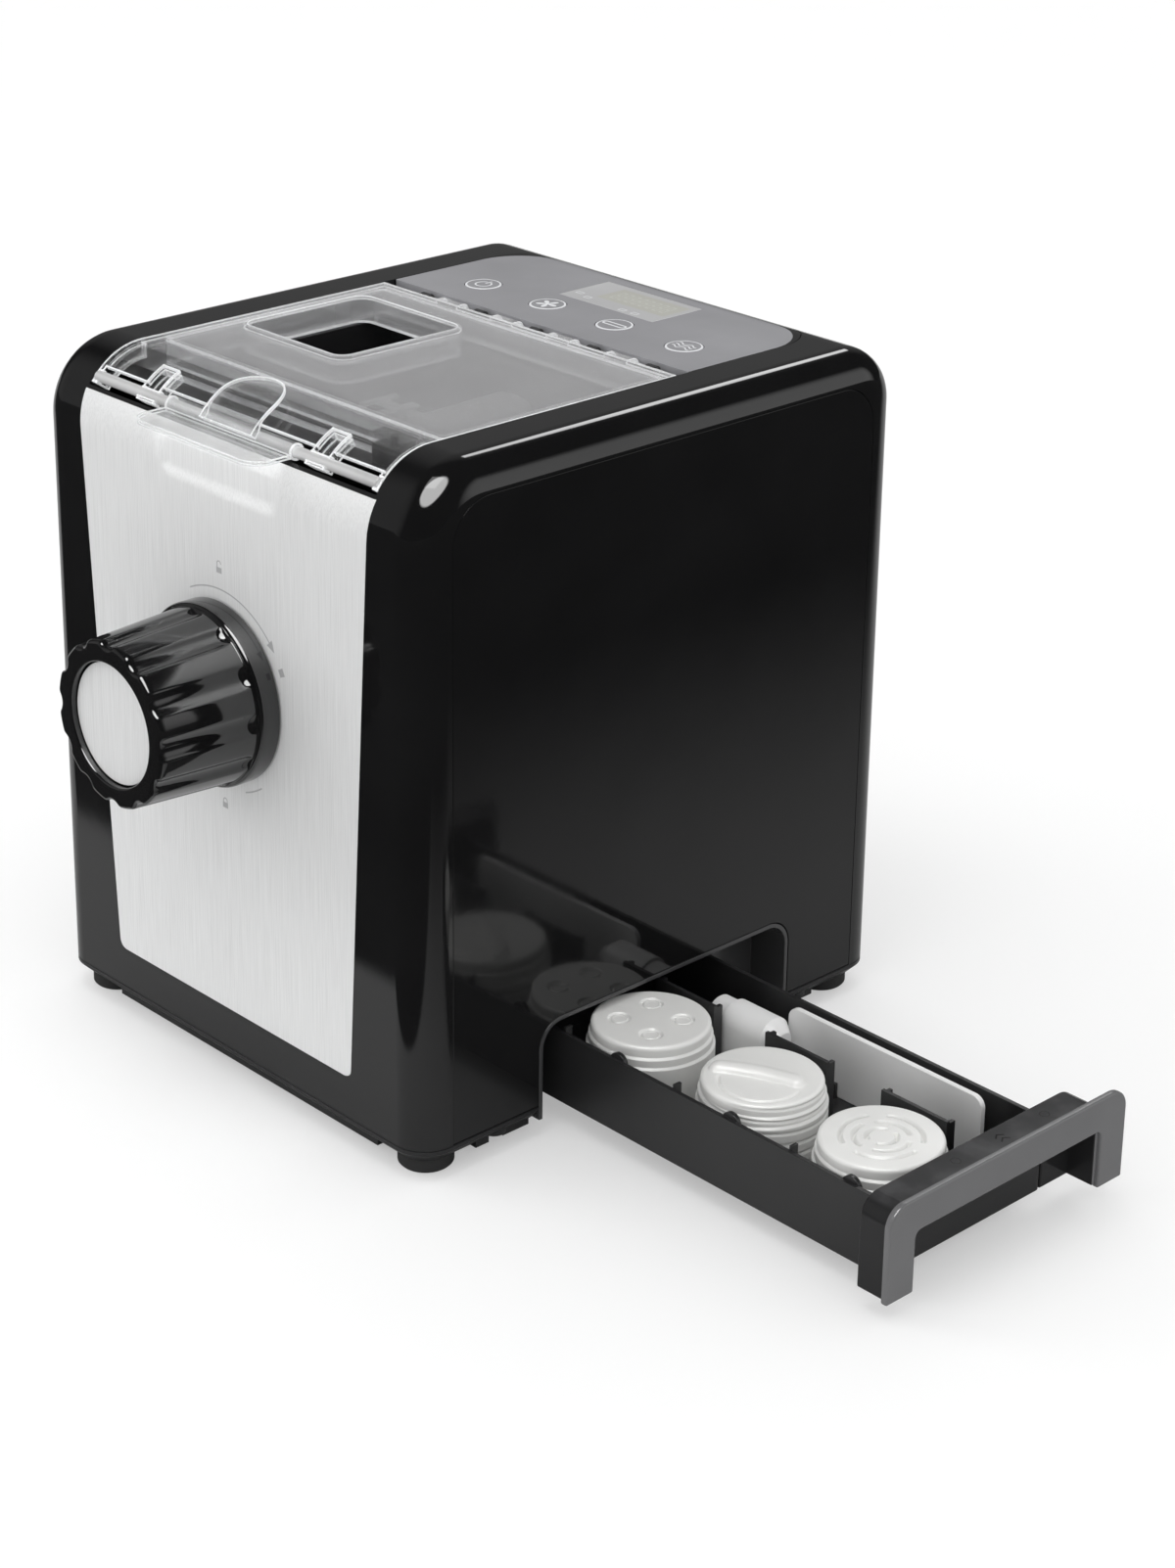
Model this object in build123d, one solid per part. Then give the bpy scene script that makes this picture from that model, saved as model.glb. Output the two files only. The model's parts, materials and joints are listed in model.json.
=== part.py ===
from build123d import *
import math
import os

os.makedirs("parts", exist_ok=True)

# Pasta machine. Millimetres. +X is the drawer side, -Y the front, +Z up.
# The origin is the middle of the body's footprint, on the counter.

# Body
BODY_WIDTH = 242.4
BODY_DEPTH = 265.4
BODY_HEIGHT = 290.0
FOOT_HEIGHT = 7.0
FOOT_RADIUS = 11.5
FOOT_INSET = 17.0
WALL = 2.6
SHOULDER_RADIUS = 15.0
FRONT_TOP_RADIUS = 32.0
REAR_TOP_RADIUS = 24.0
BASE_HEIGHT = 7.0
BASE_CHAMFER = 5.0
BASE_FLOOR = 2.5
RIM_INSET = 6.0
RIM_THICK = 3.0
RIM_DROP = 3.5

# Fits
SEAM = 0.3
SEAT = 0.1
RUNNING = 0.06
SHAKE = 0.5

# Side panels and rear cover
PANEL_EDGE = 16.8
PANEL_TOP_DROP = 13.2
PANEL_CORNER = 19.0
PANEL_THICK = 1.6
COVER_HALF_WIDTH = 84.0
COVER_LOW = 52.0
COVER_HIGH = 266.0
COVER_CORNER = 12.0
COVER_LIP = 8.0
COVER_LIP_THICK = 3.0
VENT_COUNT = 9
VENT_PITCH = 9.0
VENT_WIDTH = 3.0
VENT_LENGTH = 90.0

# Steel front
STEEL_THICK = 0.8
STEEL_FOOT_HALF = 77.9
STEEL_TOP_HALF = 92.4
STEEL_FOOT_RISE = 25.2
STEEL_TOP_ANGLE = 30.0
STEEL_CORNER = 4.0
RECESS_HALF_WIDTH = 39.5
RECESS_DROP = 38.5
RECESS_DEPTH = 2.6
RECESS_CORNER = 8.0

# Top opening, deck and control panel
OPENING_HALF_WIDTH = 91.4
OPENING_ANGLE = 33.0
OPENING_REAR_INSET = 14.7
OPENING_REAR_CORNER = 26.0
DECK_DROP = 15.0
DECK_THICK = 2.4
DECK_WELL = 18.0
LEDGE_WIDTH = 3.0
PANEL_PLATE = 3.0
BOARD_THICK = 1.6
BOARD_RISE = 2.0
DISPLAY_WIDTH = 58.0
DISPLAY_LENGTH = 30.0
DISPLAY_X = 1.5
DISPLAY_FROM_REAR = 42.5
KEY_RADIUS = 8.4
KEY_PITCH = 41.5
KEY_SHIFT = 2.0
KEY_FROM_REAR = 72.2
KEY_FLANGE = 1.4
KEY_TRAVEL = 0.8
KEY_NAMES = ("power_key", "program_key", "mix_key", "extrude_key")

# Mixing chamber and outlet
CHAMBER_WALL = 2.5
CHAMBER_HALF_WIDTH = 84.0
CHAMBER_FRONT = -88.0
CHAMBER_REAR = 28.0
TROUGH_RADIUS = 45.0
SHOULDER_HEIGHT = 228.0
CHAMBER_LIP = 3.5
CHAMBER_LIP_THICK = 2.0
BARREL_BORE = 22.0
BARREL_WALL = 8.0
BARREL_REACH = 14.0
DIE_RADIUS = 26.5
DIE_DEPTH = 7.0

# Auger
SHAFT_RADIUS = 8.0
HUB_RADIUS = 11.5
ARM_RADIUS = 3.5
ARM_COUNT = 4
SWEEP_GAP = 3.0
SCREW_PITCH = 20.0
SCREW_TURNS = 2
FLIGHT_THICK = 3.5

# Lid and latch
LID_THICK = 2.2
LID_EDGE_ANGLE = 50.0
LID_ARM_ANGLE = 35.5
LID_SIDE_GAP = 0.6
LID_SKIRT = 10.0
LID_SKIRT_THICK = 2.0
INLET_X = -49.5
INLET_Y = -22.5
INLET_WIDTH = 65.0
INLET_LENGTH = 66.0
INLET_CORNER = 6.0
HINGE_Y = 33.0
HINGE_DROP = 3.0
HINGE_BARREL = 2.9
PIN_RADIUS = 1.5
HINGE_PITCH = 35.0
HINGE_SHIFT = 3.5
LID_KNUCKLE = 14.0
BRACKET_EAR = 5.0
ROD_ANGLE = 41.5
ROD_INSET = 1.0
ROD_RADIUS = 2.4
LATCH_KNUCKLE = 3.6
LATCH_HALF_WIDTH = 40.0
LIP_REACH = 21.4
LIP_THICK = 2.0
LIP_DROP = 2.4
TAB_X = 1.5
TAB_HALF_WIDTH = 16.5
TAB_CORNER = 12.0
TAB_RISE = 3.0
TAB_THICK = 1.6
TAB_END_ANGLE = 86.0
ARM_INNER = 48.5
ARM_OUTER = 59.5
ARM_TOP_ANGLE = 68.0

# Locking knob and outlet cap
KNOB_GAP = 0.8
KNOB_REACH = 55.6
KNOB_COLLAR_RADIUS = 38.5
KNOB_COLLAR_DEPTH = 10.0
KNOB_REAR_RADIUS = 37.0
KNOB_FRONT_RADIUS = 34.3
FLUTE_COUNT = 12
FLUTE_RADIUS = 7.0
FLUTE_DEPTH = 2.0
CAP_RADIUS = 25.4
CAP_SET_BACK = 3.0
CAP_DEPTH = 16.0
LUG_COUNT = 3
LUG_DEPTH = 2.4
LUG_THICK = 3.0
LUG_ANGLE = 30.0

# Gear train and motor
OUTPUT_TEETH = 56
IDLER_SMALL_TEETH = 14
SLOW_MODULE = 1.5
IDLER_LARGE_TEETH = 60
PINION_TEETH = 12
FAST_MODULE = 1.0
PRESSURE_ANGLE = 20.0
BACKLASH = 0.35
TRAIN_LEAN = 8.0
GEARCASE_FRONT = 34.0
GEARCASE_DEPTH = 40.0
GEARCASE_WALL = 2.4
SLOW_FACE = 12.0
FAST_FACE = 9.0
AXLE_RADIUS = 4.0
BUSH_WALL = 4.0
BUSH_LENGTH = 5.0
BACK_PLATE = 2.5
BACK_PLATE_HALF = 50.0
BACK_PLATE_FOOT = 18.0
MOTOR_RADIUS = 30.0
MOTOR_CLEARANCE = 7.76
MOTOR_LENGTH = 84.0
STATOR_BORE = 20.6
ARMATURE_RADIUS = 19.2
ARMATURE_LENGTH = 50.0
MOTOR_SHAFT = 4.0
FAN_RADIUS = 24.0
FAN_BLADES = 9
END_CAP_DEPTH = 9.0

# Drawer
DRAWER_Y = 3.0
DRAWER_OUT = 186.0
FLANGE_HALF = 69.5
FLANGE_HEIGHT = 40.4
FLANGE_LOW = 0.6
FLANGE_LEG = 15.0
FLANGE_BAR = 14.5
FLANGE_THICK = 3.2
FLANGE_CORNER = 9.0
HOOD_DEPTH = 16.0
HOOD_WALL = 2.2
HOOD_RIGHT = 42.0
OPENING_GAP = 1.2
SURROUND_WALL = 2.0
SURROUND_DEPTH = 22.0
TRAY_OFFSET = -11.7
TRAY_WIDTH = 94.0
TRAY_LENGTH = 218.0
TRAY_HEIGHT = 32.0
TRAY_WALL = 2.0
TRAY_SET_BACK = 13.0
TRAY_LIFT = 0.4
BAY_CEILING = 45.0
BAY_WALL = 2.0
DIE_PITCH = 63.0
DIE_HEIGHT = 33.0
DIE_COUNT = 3
DIE_STEP = 1.8
WALL_TAB_SHIFT = 11.0
DIVIDER_THICK = 1.8
DIVIDER_BEFORE = 25.0
DIVIDER_AFTER = 9.0
DIVIDER_RISE = 2.5
SCRAPER_LENGTH = 104.0
SCRAPER_THICK = 2.6
SCRAPER_LIFT = 1.0
SCRAPER_SET_BACK = 22.0
SCRAPER_OFF_WALL = 5.3
RIB_THICK = 1.5
RIB_HEIGHT = 7.0
TOOL_END = 168.0
TOOL_HALF_WIDTH = 8.6
TOOL_HALF_HEIGHT = 14.5
TOOL_LENGTH = 22.0
TOOL_COLLAR = 9.0
TOOL_STEP = 1.4
TOOL_NOSE = 6.0
TOOL_TAPER = 4.5

# Fasteners and mains entry
SCREW_RADIUS = 1.8
SCREW_HEAD_RADIUS = 3.6
SCREW_HEAD = 2.4
SCREW_LENGTH = 11.0
BOSS_RADIUS = 5.0
BOSS_HEIGHT = 40.0
BOSS_Y = 88.0
GLAND_X = 70.0
GLAND_Z = 26.0
GLAND_BORE = 3.6
GLAND_RADIUS = 6.5
GLAND_FLANGE = 8.5
GLAND_REACH = 6.0

# Places that follow from the sizes above
FRONT = -BODY_DEPTH / 2
REAR = BODY_DEPTH / 2
SIDE = BODY_WIDTH / 2
LOW = FOOT_HEIGHT
TOP = FOOT_HEIGHT + BODY_HEIGHT
BASE_TOP = LOW + BASE_HEIGHT
FLOOR_TOP = LOW + BASE_FLOOR
CURVE_Y = FRONT + FRONT_TOP_RADIUS
CURVE_Z = TOP - FRONT_TOP_RADIUS
DECK_TOP = TOP - DECK_DROP
DECK_LOW = DECK_TOP - DECK_THICK
HINGE_Z = TOP - HINGE_DROP
PANEL_FRONT = HINGE_Y + HINGE_BARREL + SHAKE
PANEL_REAR = REAR - OPENING_REAR_INSET - SEAM
BOARD_LOW = DECK_TOP + BOARD_RISE
BOARD_TOP = BOARD_LOW + BOARD_THICK
DISPLAY_Y = REAR - DISPLAY_FROM_REAR
KEY_Y = REAR - KEY_FROM_REAR
KEY_XS = [KEY_SHIFT + KEY_PITCH * (k - 1.5) for k in range(4)]
ROD_Y = CURVE_Y - (FRONT_TOP_RADIUS - ROD_INSET) * math.cos(math.radians(ROD_ANGLE))
ROD_Z = CURVE_Z + (FRONT_TOP_RADIUS - ROD_INSET) * math.sin(math.radians(ROD_ANGLE))
BARREL_RADIUS = BARREL_BORE + BARREL_WALL
BARREL_END = FRONT - BARREL_REACH
SLOW_CENTRES = SLOW_MODULE * (OUTPUT_TEETH + IDLER_SMALL_TEETH) / 2
FAST_CENTRES = FAST_MODULE * (IDLER_LARGE_TEETH + PINION_TEETH) / 2
IDLER_X = SLOW_CENTRES * math.sin(math.radians(TRAIN_LEAN))
MOTOR_LEAN = math.asin(IDLER_X / FAST_CENTRES)
GEARCASE_REAR = GEARCASE_FRONT + GEARCASE_DEPTH
SLOW_START = GEARCASE_FRONT + GEARCASE_WALL + BUSH_LENGTH
FAST_START = SLOW_START + SLOW_FACE + 3.0
PLATE_FRONT = GEARCASE_REAR + SEAT
PLATE_REAR = PLATE_FRONT + BACK_PLATE
FACE_X = SIDE + DRAWER_OUT
FLANGE_Z = LOW + FLANGE_LOW
FLANGE_TOP = FLANGE_Z + FLANGE_HEIGHT
SURROUND_HALF = FLANGE_HALF + OPENING_GAP
SURROUND_TOP = FLANGE_TOP + OPENING_GAP
SURROUND_BACK = SIDE - SURROUND_DEPTH
TRAY_Y = DRAWER_Y + TRAY_OFFSET
TRAY_FRONT = FACE_X - TRAY_SET_BACK
TRAY_REAR = TRAY_FRONT - TRAY_LENGTH
TRAY_LOW = FLOOR_TOP + TRAY_LIFT
TRAY_TOP = TRAY_LOW + TRAY_HEIGHT
TRAY_LEFT = TRAY_Y - TRAY_WIDTH / 2
TRAY_RIGHT = TRAY_Y + TRAY_WIDTH / 2
BAY_TOP = LOW + BAY_CEILING
MOTOR_Z = BAY_TOP + MOTOR_CLEARANCE + MOTOR_RADIUS
IDLER_Z = MOTOR_Z + FAST_CENTRES * math.cos(MOTOR_LEAN)
AXIS_Z = IDLER_Z + SLOW_CENTRES * math.cos(math.radians(TRAIN_LEAN))
DIE_Y = TRAY_LEFT + TRAY_WALL + SHAKE + DIE_RADIUS + 2.0
DIE_FIRST_X = TRAY_FRONT - TRAY_WALL - SHAKE - DIE_RADIUS
DIE_LOW = TRAY_LOW + TRAY_WALL + SEAM
DIVIDER_Y = DIE_Y + DIE_RADIUS + 1.0


def block(x0, x1, y0, y1, z0, z1):
    """A box between two corners."""
    middle = Pos((x0 + x1) / 2, (y0 + y1) / 2, (z0 + z1) / 2)
    return middle * Box(x1 - x0, y1 - y0, z1 - z0)


def along_x(sketch, x0, x1):
    """A sketch of Y and Z carried from x0 to x1."""
    return extrude(Plane.YZ.offset(x0) * sketch, x1 - x0)


def along_y(sketch, y0, y1):
    """A sketch of X and Z carried from y0 to y1."""
    return extrude(Plane.XZ.offset(-y1) * sketch, y1 - y0)


def along_z(sketch, z0, z1):
    """A sketch of X and Y carried from z0 to z1."""
    return extrude(Plane.XY.offset(z0) * sketch, z1 - z0)


def disc_x(radius, x0, x1, y, z):
    return along_x(Pos(y, z) * Circle(radius), x0, x1)


def disc_y(radius, y0, y1, x=0.0, z=AXIS_Z):
    return along_y(Pos(x, z) * Circle(radius), y0, y1)


def disc_z(radius, z0, z1, x, y):
    return along_z(Pos(x, y) * Circle(radius), z0, z1)


def ring_y(outer, inner, y0, y1, x=0.0, z=AXIS_Z):
    face = Pos(x, z) * (Circle(outer) - Circle(inner))
    return along_y(face, y0, y1)


def rectangle(u0, u1, v0, v1, radius=0.0):
    """A flat rectangle between two corners, with round corners if a radius is given."""
    middle = Pos((u0 + u1) / 2, (v0 + v1) / 2)
    if radius:
        return middle * RectangleRounded(u1 - u0, v1 - v0, radius)
    return middle * Rectangle(u1 - u0, v1 - v0)


def arch(u0, u1, v0, v1, radius):
    """A flat rectangle whose two upper corners are round."""
    face = rectangle(u0, u1, v0 - 3 * radius, v1, radius)
    return face & rectangle(u0, u1, v0, v1)


def curve_point(angle, inset=0.0):
    """A point of the front top curve: angle is its height above level, in degrees."""
    radius = FRONT_TOP_RADIUS - inset
    lift = math.radians(angle)
    return CURVE_Y - radius * math.cos(lift), CURVE_Z + radius * math.sin(lift)


def curve_band(inner, outer, low_angle, high_angle):
    """Side view of a band round the front top curve, between two radii and two angles."""
    reach = 3 * outer
    ring = Circle(outer) - Circle(inner)
    spread = [math.radians(180 - a) for a in (low_angle, (low_angle + high_angle) / 2, high_angle)]
    corners = [(reach * math.cos(a), reach * math.sin(a)) for a in spread]
    wedge = make_face(Polyline((0, 0), *corners, close=True))
    return Pos(CURVE_Y, CURVE_Z) * (ring & wedge)


def lid_side(angle):
    """Side view of the space above the front top curve from an angle, and behind it."""
    band = curve_band(1, FRONT_TOP_RADIUS + 2, angle, 90)
    return band + rectangle(CURVE_Y, REAR + 1, CURVE_Z, TOP + 1)


def side_profile(inset, bottom):
    """Side view of the body drawn in by inset."""
    half = BODY_DEPTH / 2 - inset
    top = TOP - inset
    corners = [(-half, bottom), (-half, top), (half, top), (half, bottom)]
    face = make_face(Polyline(*corners, close=True))
    front = face.vertices().sort_by_distance((-half, top, 0))[0]
    face = fillet(front, FRONT_TOP_RADIUS - inset)
    rear = face.vertices().sort_by_distance((half, top, 0))[0]
    return fillet(rear, REAR_TOP_RADIUS - inset)


def body_block(inset, bottom):
    """The whole body drawn in by inset, with its rounded shoulders."""
    half = BODY_WIDTH / 2 - inset
    solid = along_x(side_profile(inset, bottom), -half, half)
    rims = []
    for face in solid.faces().filter_by(Axis.X):
        rims += [edge for edge in face.edges() if edge.center().Z > bottom + 0.01]
    return fillet(rims, SHOULDER_RADIUS - inset)


def screw(x, y, z, direction):
    """A pan head screw whose head's underside is at x, y, z, with its shank along direction."""
    seat = Plane(origin=(x, y, z), z_dir=direction)
    head = extrude(seat * Circle(SCREW_HEAD_RADIUS), -SCREW_HEAD)
    shank = extrude(seat * Circle(SCREW_RADIUS), SCREW_LENGTH)
    slot = extrude(seat.offset(-SCREW_HEAD) * Rectangle(1.2 * SCREW_HEAD_RADIUS, 0.9), 1.2)
    return head + shank - slot


def save(name, solid):
    export_step(solid, f"parts/{name}.step")


# Openings of the case
def top_opening(gap):
    """Plan of the top opening, smaller by gap all round."""
    half = OPENING_HALF_WIDTH - gap
    rear = REAR - OPENING_REAR_INSET - gap
    return rectangle(-half, half, FRONT - 2 * BODY_DEPTH, rear, OPENING_REAR_CORNER - gap)


def drawer_opening(x0, x1, gap):
    """The drawer's doorway in the right side, wider than its surround by gap."""
    half = SURROUND_HALF + SURROUND_WALL + gap
    outline = arch(DRAWER_Y - half, DRAWER_Y + half, LOW - 1, SURROUND_TOP + SURROUND_WALL + gap,
                   FLANGE_CORNER + OPENING_GAP + SURROUND_WALL)
    return along_x(outline, x0, x1)


def steel_outline(gap):
    """Front view of the steel front, wider by gap."""
    low = LOW + STEEL_FOOT_RISE - gap
    high = curve_point(STEEL_TOP_ANGLE)[1] + gap
    corners = [(-STEEL_FOOT_HALF - gap, low), (-STEEL_TOP_HALF - gap, high),
               (STEEL_TOP_HALF + gap, high), (STEEL_FOOT_HALF + gap, low)]
    face = make_face(Polyline(*corners, close=True))
    return fillet(face.vertices().group_by(Axis.Y)[0], STEEL_CORNER + gap)


def finger_recess(inset):
    """The block that the finger recess takes out of the front, drawn in by inset."""
    half = RECESS_HALF_WIDTH + inset
    low = TOP - RECESS_DROP - inset
    outline = rectangle(-half, half, low, TOP, RECESS_CORNER + inset)
    return along_y(outline, FRONT - 1, FRONT + RECESS_DEPTH + inset)


def steel_core(inset):
    """The front's block behind a sheet whose outer face is the case's own front."""
    profile = side_profile(inset, LOW)
    return along_x(profile, -STEEL_TOP_HALF - 2, STEEL_TOP_HALF + 2) - finger_recess(inset)


# Casings
def base_pan():
    """The shallow base: floor, rim, screw bosses and air slots, notched for the handle."""
    shape = body_block(0, LOW) & block(-SIDE, SIDE, FRONT, REAR, LOW, BASE_TOP - SEAM)
    under = shape.faces().sort_by(Axis.Z)[0]
    shape = chamfer(under.edges(), BASE_CHAMFER)
    room = body_block(WALL + BASE_CHAMFER - BASE_FLOOR, LOW)
    shape -= room & block(-SIDE, SIDE, FRONT, REAR, FLOOR_TOP, BASE_TOP)
    shape += base_rim()
    for x, y in boss_places():
        shape += disc_z(BOSS_RADIUS, LOW, BASE_TOP - SEAM, x, y) & body_block(0, LOW)
        shape -= disc_z(SCREW_HEAD_RADIUS + SEAM, LOW - RIM_DROP - 1, LOW + SCREW_HEAD + 1, x, y)
        shape -= disc_z(SCREW_RADIUS + SEAM, LOW, BASE_TOP, x, y)
    half = SURROUND_HALF + SURROUND_WALL + SEAM
    shape -= block(SURROUND_BACK - SEAM, SIDE + 1, DRAWER_Y - half, DRAWER_Y + half, 0, BASE_TOP + 1)
    for x in (-1, 1):
        for y in (-1, 1):
            place = foot_place(x, y)
            shape -= disc_z(FOOT_RADIUS / 2 + SEAT, LOW - 1, BASE_TOP, *place)
    for k in range(VENT_COUNT):
        x = VENT_PITCH * (k - (VENT_COUNT - 1) / 2)
        y0 = FRONT + 2 * FOOT_INSET
        shape -= block(x - VENT_WIDTH / 2, x + VENT_WIDTH / 2, y0, TRAY_LEFT - 8, LOW - 1, FLOOR_TOP + 1)
    return shape


def base_rim():
    """The stiffening rim under the base, which leaves the corners to the feet."""
    wide, deep = SIDE - RIM_INSET, REAR - RIM_INSET
    narrow, short = SIDE - 2 * FOOT_INSET, REAR - 2 * FOOT_INSET
    cross = rectangle(-wide, wide, -short, short) + rectangle(-narrow, narrow, -deep, deep)
    ring = cross - offset(cross, -RIM_THICK)
    return along_z(ring, LOW - RIM_DROP, LOW + BASE_FLOOR / 2)


def foot_place(x_sign, y_sign):
    return x_sign * (SIDE - FOOT_INSET), y_sign * (REAR - FOOT_INSET)


def boss_places():
    x = SIDE - WALL - BOSS_RADIUS + 0.4
    return [(sx * x, sy * BOSS_Y) for sx in (-1, 1) for sy in (-1, 1)]


def rubber_feet():
    """Four round feet, each with a plug that goes up into the base."""
    feet = []
    for x in (-1, 1):
        for y in (-1, 1):
            place = foot_place(x, y)
            pad = disc_z(FOOT_RADIUS, 0, LOW - SEAT, *place)
            pad = chamfer(pad.edges().group_by(Axis.Z)[0], 1.2)
            feet.append(pad + disc_z(FOOT_RADIUS / 2, 0, FLOOR_TOP, *place))
    return Compound(children=feet)


def housing_shell():
    """The glossy case: one shell with openings for the lid, steel, rear cover and drawer."""
    outer = body_block(0, LOW) - block(-SIDE, SIDE, FRONT, REAR, LOW - 1, BASE_TOP)
    shape = outer - body_block(WALL, LOW - 1)
    shape -= along_z(top_opening(0), CURVE_Z, TOP + 2) & along_x(lid_side(OPENING_ANGLE), -SIDE, SIDE)
    ledge = body_block(WALL - 0.2, LOW) & block(-SIDE, SIDE, FRONT, REAR, DECK_LOW - 3, DECK_LOW - SEAT)
    ledge -= body_block(WALL + LEDGE_WIDTH, LOW - 1)
    shape += ledge
    pocket = along_y(steel_outline(SEAT), FRONT - 1, CURVE_Y)
    shape -= pocket - steel_core(STEEL_THICK + SEAT)
    shape -= disc_y(BARREL_RADIUS + SEAM, FRONT - 1, FRONT + 2 * WALL)
    for sign in (-1, 1):
        x0, x1 = sorted((sign * (SIDE + 1), sign * (SIDE - PANEL_THICK - SEAT)))
        shape -= along_x(side_panel_outline(SEAT), x0, x1)
    shape -= drawer_opening(SIDE - 2 * WALL, SIDE + 1, SEAM)
    lip = COVER_LIP
    frame = rectangle(-COVER_HALF_WIDTH - 3, COVER_HALF_WIDTH + 3, COVER_LOW - 3, COVER_HIGH + 3, COVER_CORNER)
    frame -= rectangle(-COVER_HALF_WIDTH + lip, COVER_HALF_WIDTH - lip, COVER_LOW + lip, COVER_HIGH - lip, 6)
    shape += along_y(frame, REAR - WALL - COVER_LIP_THICK, REAR - WALL + 0.1)
    shape -= along_y(cover_outline(SEAM), REAR - WALL, REAR + 1)
    for x, z in cover_screw_places():
        shape -= disc_y(SCREW_RADIUS + SEAT, REAR - 3 * WALL, REAR, x, z)
    shape -= disc_y(GLAND_RADIUS + SEAT, REAR - 2 * WALL, REAR + 1, GLAND_X, LOW + GLAND_Z)
    for x, y in boss_places():
        shape += disc_z(BOSS_RADIUS, BASE_TOP, BASE_TOP + BOSS_HEIGHT, x, y) & body_block(1, LOW)
        shape -= disc_z(SCREW_RADIUS + SEAT, BASE_TOP - 1, BASE_TOP + SCREW_LENGTH, x, y)
    return shape


def side_panel_outline(gap):
    """Side view of a glossy side panel, wider by gap."""
    half = REAR - PANEL_EDGE + gap
    return arch(-half, half, BASE_TOP + SEAM - gap, TOP - PANEL_TOP_DROP + gap, PANEL_CORNER)


def side_panel(sign):
    x0, x1 = sorted((sign * SIDE, sign * (SIDE - PANEL_THICK)))
    shape = along_x(side_panel_outline(0), x0, x1)
    if sign > 0:
        shape -= drawer_opening(x0 - 1, x1 + 1, SEAM)
    return shape


def cover_outline(gap):
    return rectangle(-COVER_HALF_WIDTH - gap, COVER_HALF_WIDTH + gap, COVER_LOW - gap, COVER_HIGH + gap,
                     COVER_CORNER)


def cover_screw_places():
    x = COVER_HALF_WIDTH - COVER_LIP / 2 - 1
    low, high = COVER_LOW + 3 * COVER_LIP, COVER_HIGH - 3 * COVER_LIP
    return [(sx * x, z) for sx in (-1, 1) for z in (low, high)]


def rear_cover():
    """The removable back: a flat plate with rows of air slots and four screw holes."""
    shape = along_y(cover_outline(0), REAR - WALL + SEAT, REAR)
    for k in range(VENT_COUNT):
        z = (COVER_LOW + COVER_HIGH) / 2 + VENT_PITCH * (k - (VENT_COUNT - 1) / 2)
        slot = rectangle(-VENT_LENGTH / 2, VENT_LENGTH / 2, z - VENT_WIDTH / 2, z + VENT_WIDTH / 2, 1.4)
        shape -= along_y(slot, REAR - 2 * WALL, REAR + 1)
    for x, z in cover_screw_places():
        shape -= disc_y(SCREW_RADIUS + SEAM, REAR - 2 * WALL, REAR + 1, x, z)
    return shape


def case_screws():
    """Four base screws from below and four rear cover screws."""
    screws = [screw(x, y, LOW + SCREW_HEAD + 1 + SEAT - 0.2, (0, 0, 1)) for x, y in boss_places()]
    screws += [screw(x, REAR + SEAT / 2, z, (0, -1, 0)) for x, z in cover_screw_places()]
    return Compound(children=screws)


def front_panel():
    """The brushed steel front: it tapers downwards, follows the top curve and is dished for fingers."""
    sheet = steel_core(0) - steel_core(STEEL_THICK)
    shape = sheet & along_y(steel_outline(0), FRONT - 1, CURVE_Y - 1)
    return shape - disc_y(BARREL_RADIUS + SEAT, FRONT - 1, FRONT + 5)


# Top
def top_deck():
    """The frame under the lid and the control panel, on the case's inner ledge."""
    shape = body_block(WALL + SEAM, LOW) & block(-SIDE, SIDE, FRONT, REAR, DECK_LOW, DECK_TOP)
    half = CHAMBER_HALF_WIDTH + SEAM
    shape -= block(-half, half, CHAMBER_FRONT - SEAM, CHAMBER_REAR + SEAM, DECK_LOW - 1, DECK_TOP + 1)
    well = OPENING_HALF_WIDTH + SEAM
    shape -= block(-well, well, FRONT, CHAMBER_FRONT - DECK_WELL, DECK_LOW - 1, DECK_TOP + 1)
    for x, y in board_post_places():
        shape += disc_z(3, DECK_LOW, BOARD_LOW, x, y)
    return shape


def board_post_places():
    return [(sx * 70, y) for sx in (-1, 1) for y in (KEY_Y - 6, DISPLAY_Y + 8)]


def control_panel():
    """The grey glossy panel with a display opening, four key holes and four legs."""
    outline = top_opening(SEAM) & rectangle(-SIDE, SIDE, PANEL_FRONT, REAR)
    skin = side_profile(0, LOW) - side_profile(PANEL_PLATE, LOW - 1)
    shape = along_z(outline, DECK_TOP, TOP + 1) & along_x(skin, -SIDE, SIDE)
    shape -= block(*display_sides(SEAT), TOP - 2 * PANEL_PLATE, TOP + 1)
    for x in KEY_XS:
        shape -= disc_z(KEY_RADIUS, TOP - 2 * PANEL_PLATE, TOP + 1, x, KEY_Y)
    for sx in (-1, 1):
        for y in (PANEL_FRONT + 6, DISPLAY_Y + 10):
            shape += disc_z(3, DECK_TOP + SEAT, TOP - PANEL_PLATE, sx * (OPENING_HALF_WIDTH - 9), y)
    return shape


def display_sides(gap):
    half_x, half_y = DISPLAY_WIDTH / 2 + gap, DISPLAY_LENGTH / 2 + gap
    return DISPLAY_X - half_x, DISPLAY_X + half_x, DISPLAY_Y - half_y, DISPLAY_Y + half_y


def display_window():
    return block(*display_sides(0), TOP - PANEL_PLATE, TOP)


def display_module():
    """The liquid crystal module between the board and the window."""
    return block(*display_sides(-2), BOARD_TOP + SEAT, TOP - PANEL_PLATE - SEAM)


def control_board():
    half = OPENING_HALF_WIDTH - 14
    return block(-half, half, KEY_Y - 12, DISPLAY_Y + 14, BOARD_LOW + SEAT, BOARD_TOP)


def key_flange_top():
    return TOP - PANEL_PLATE - SEAM


def key_stem_low():
    return BOARD_TOP + 4.0


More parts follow.
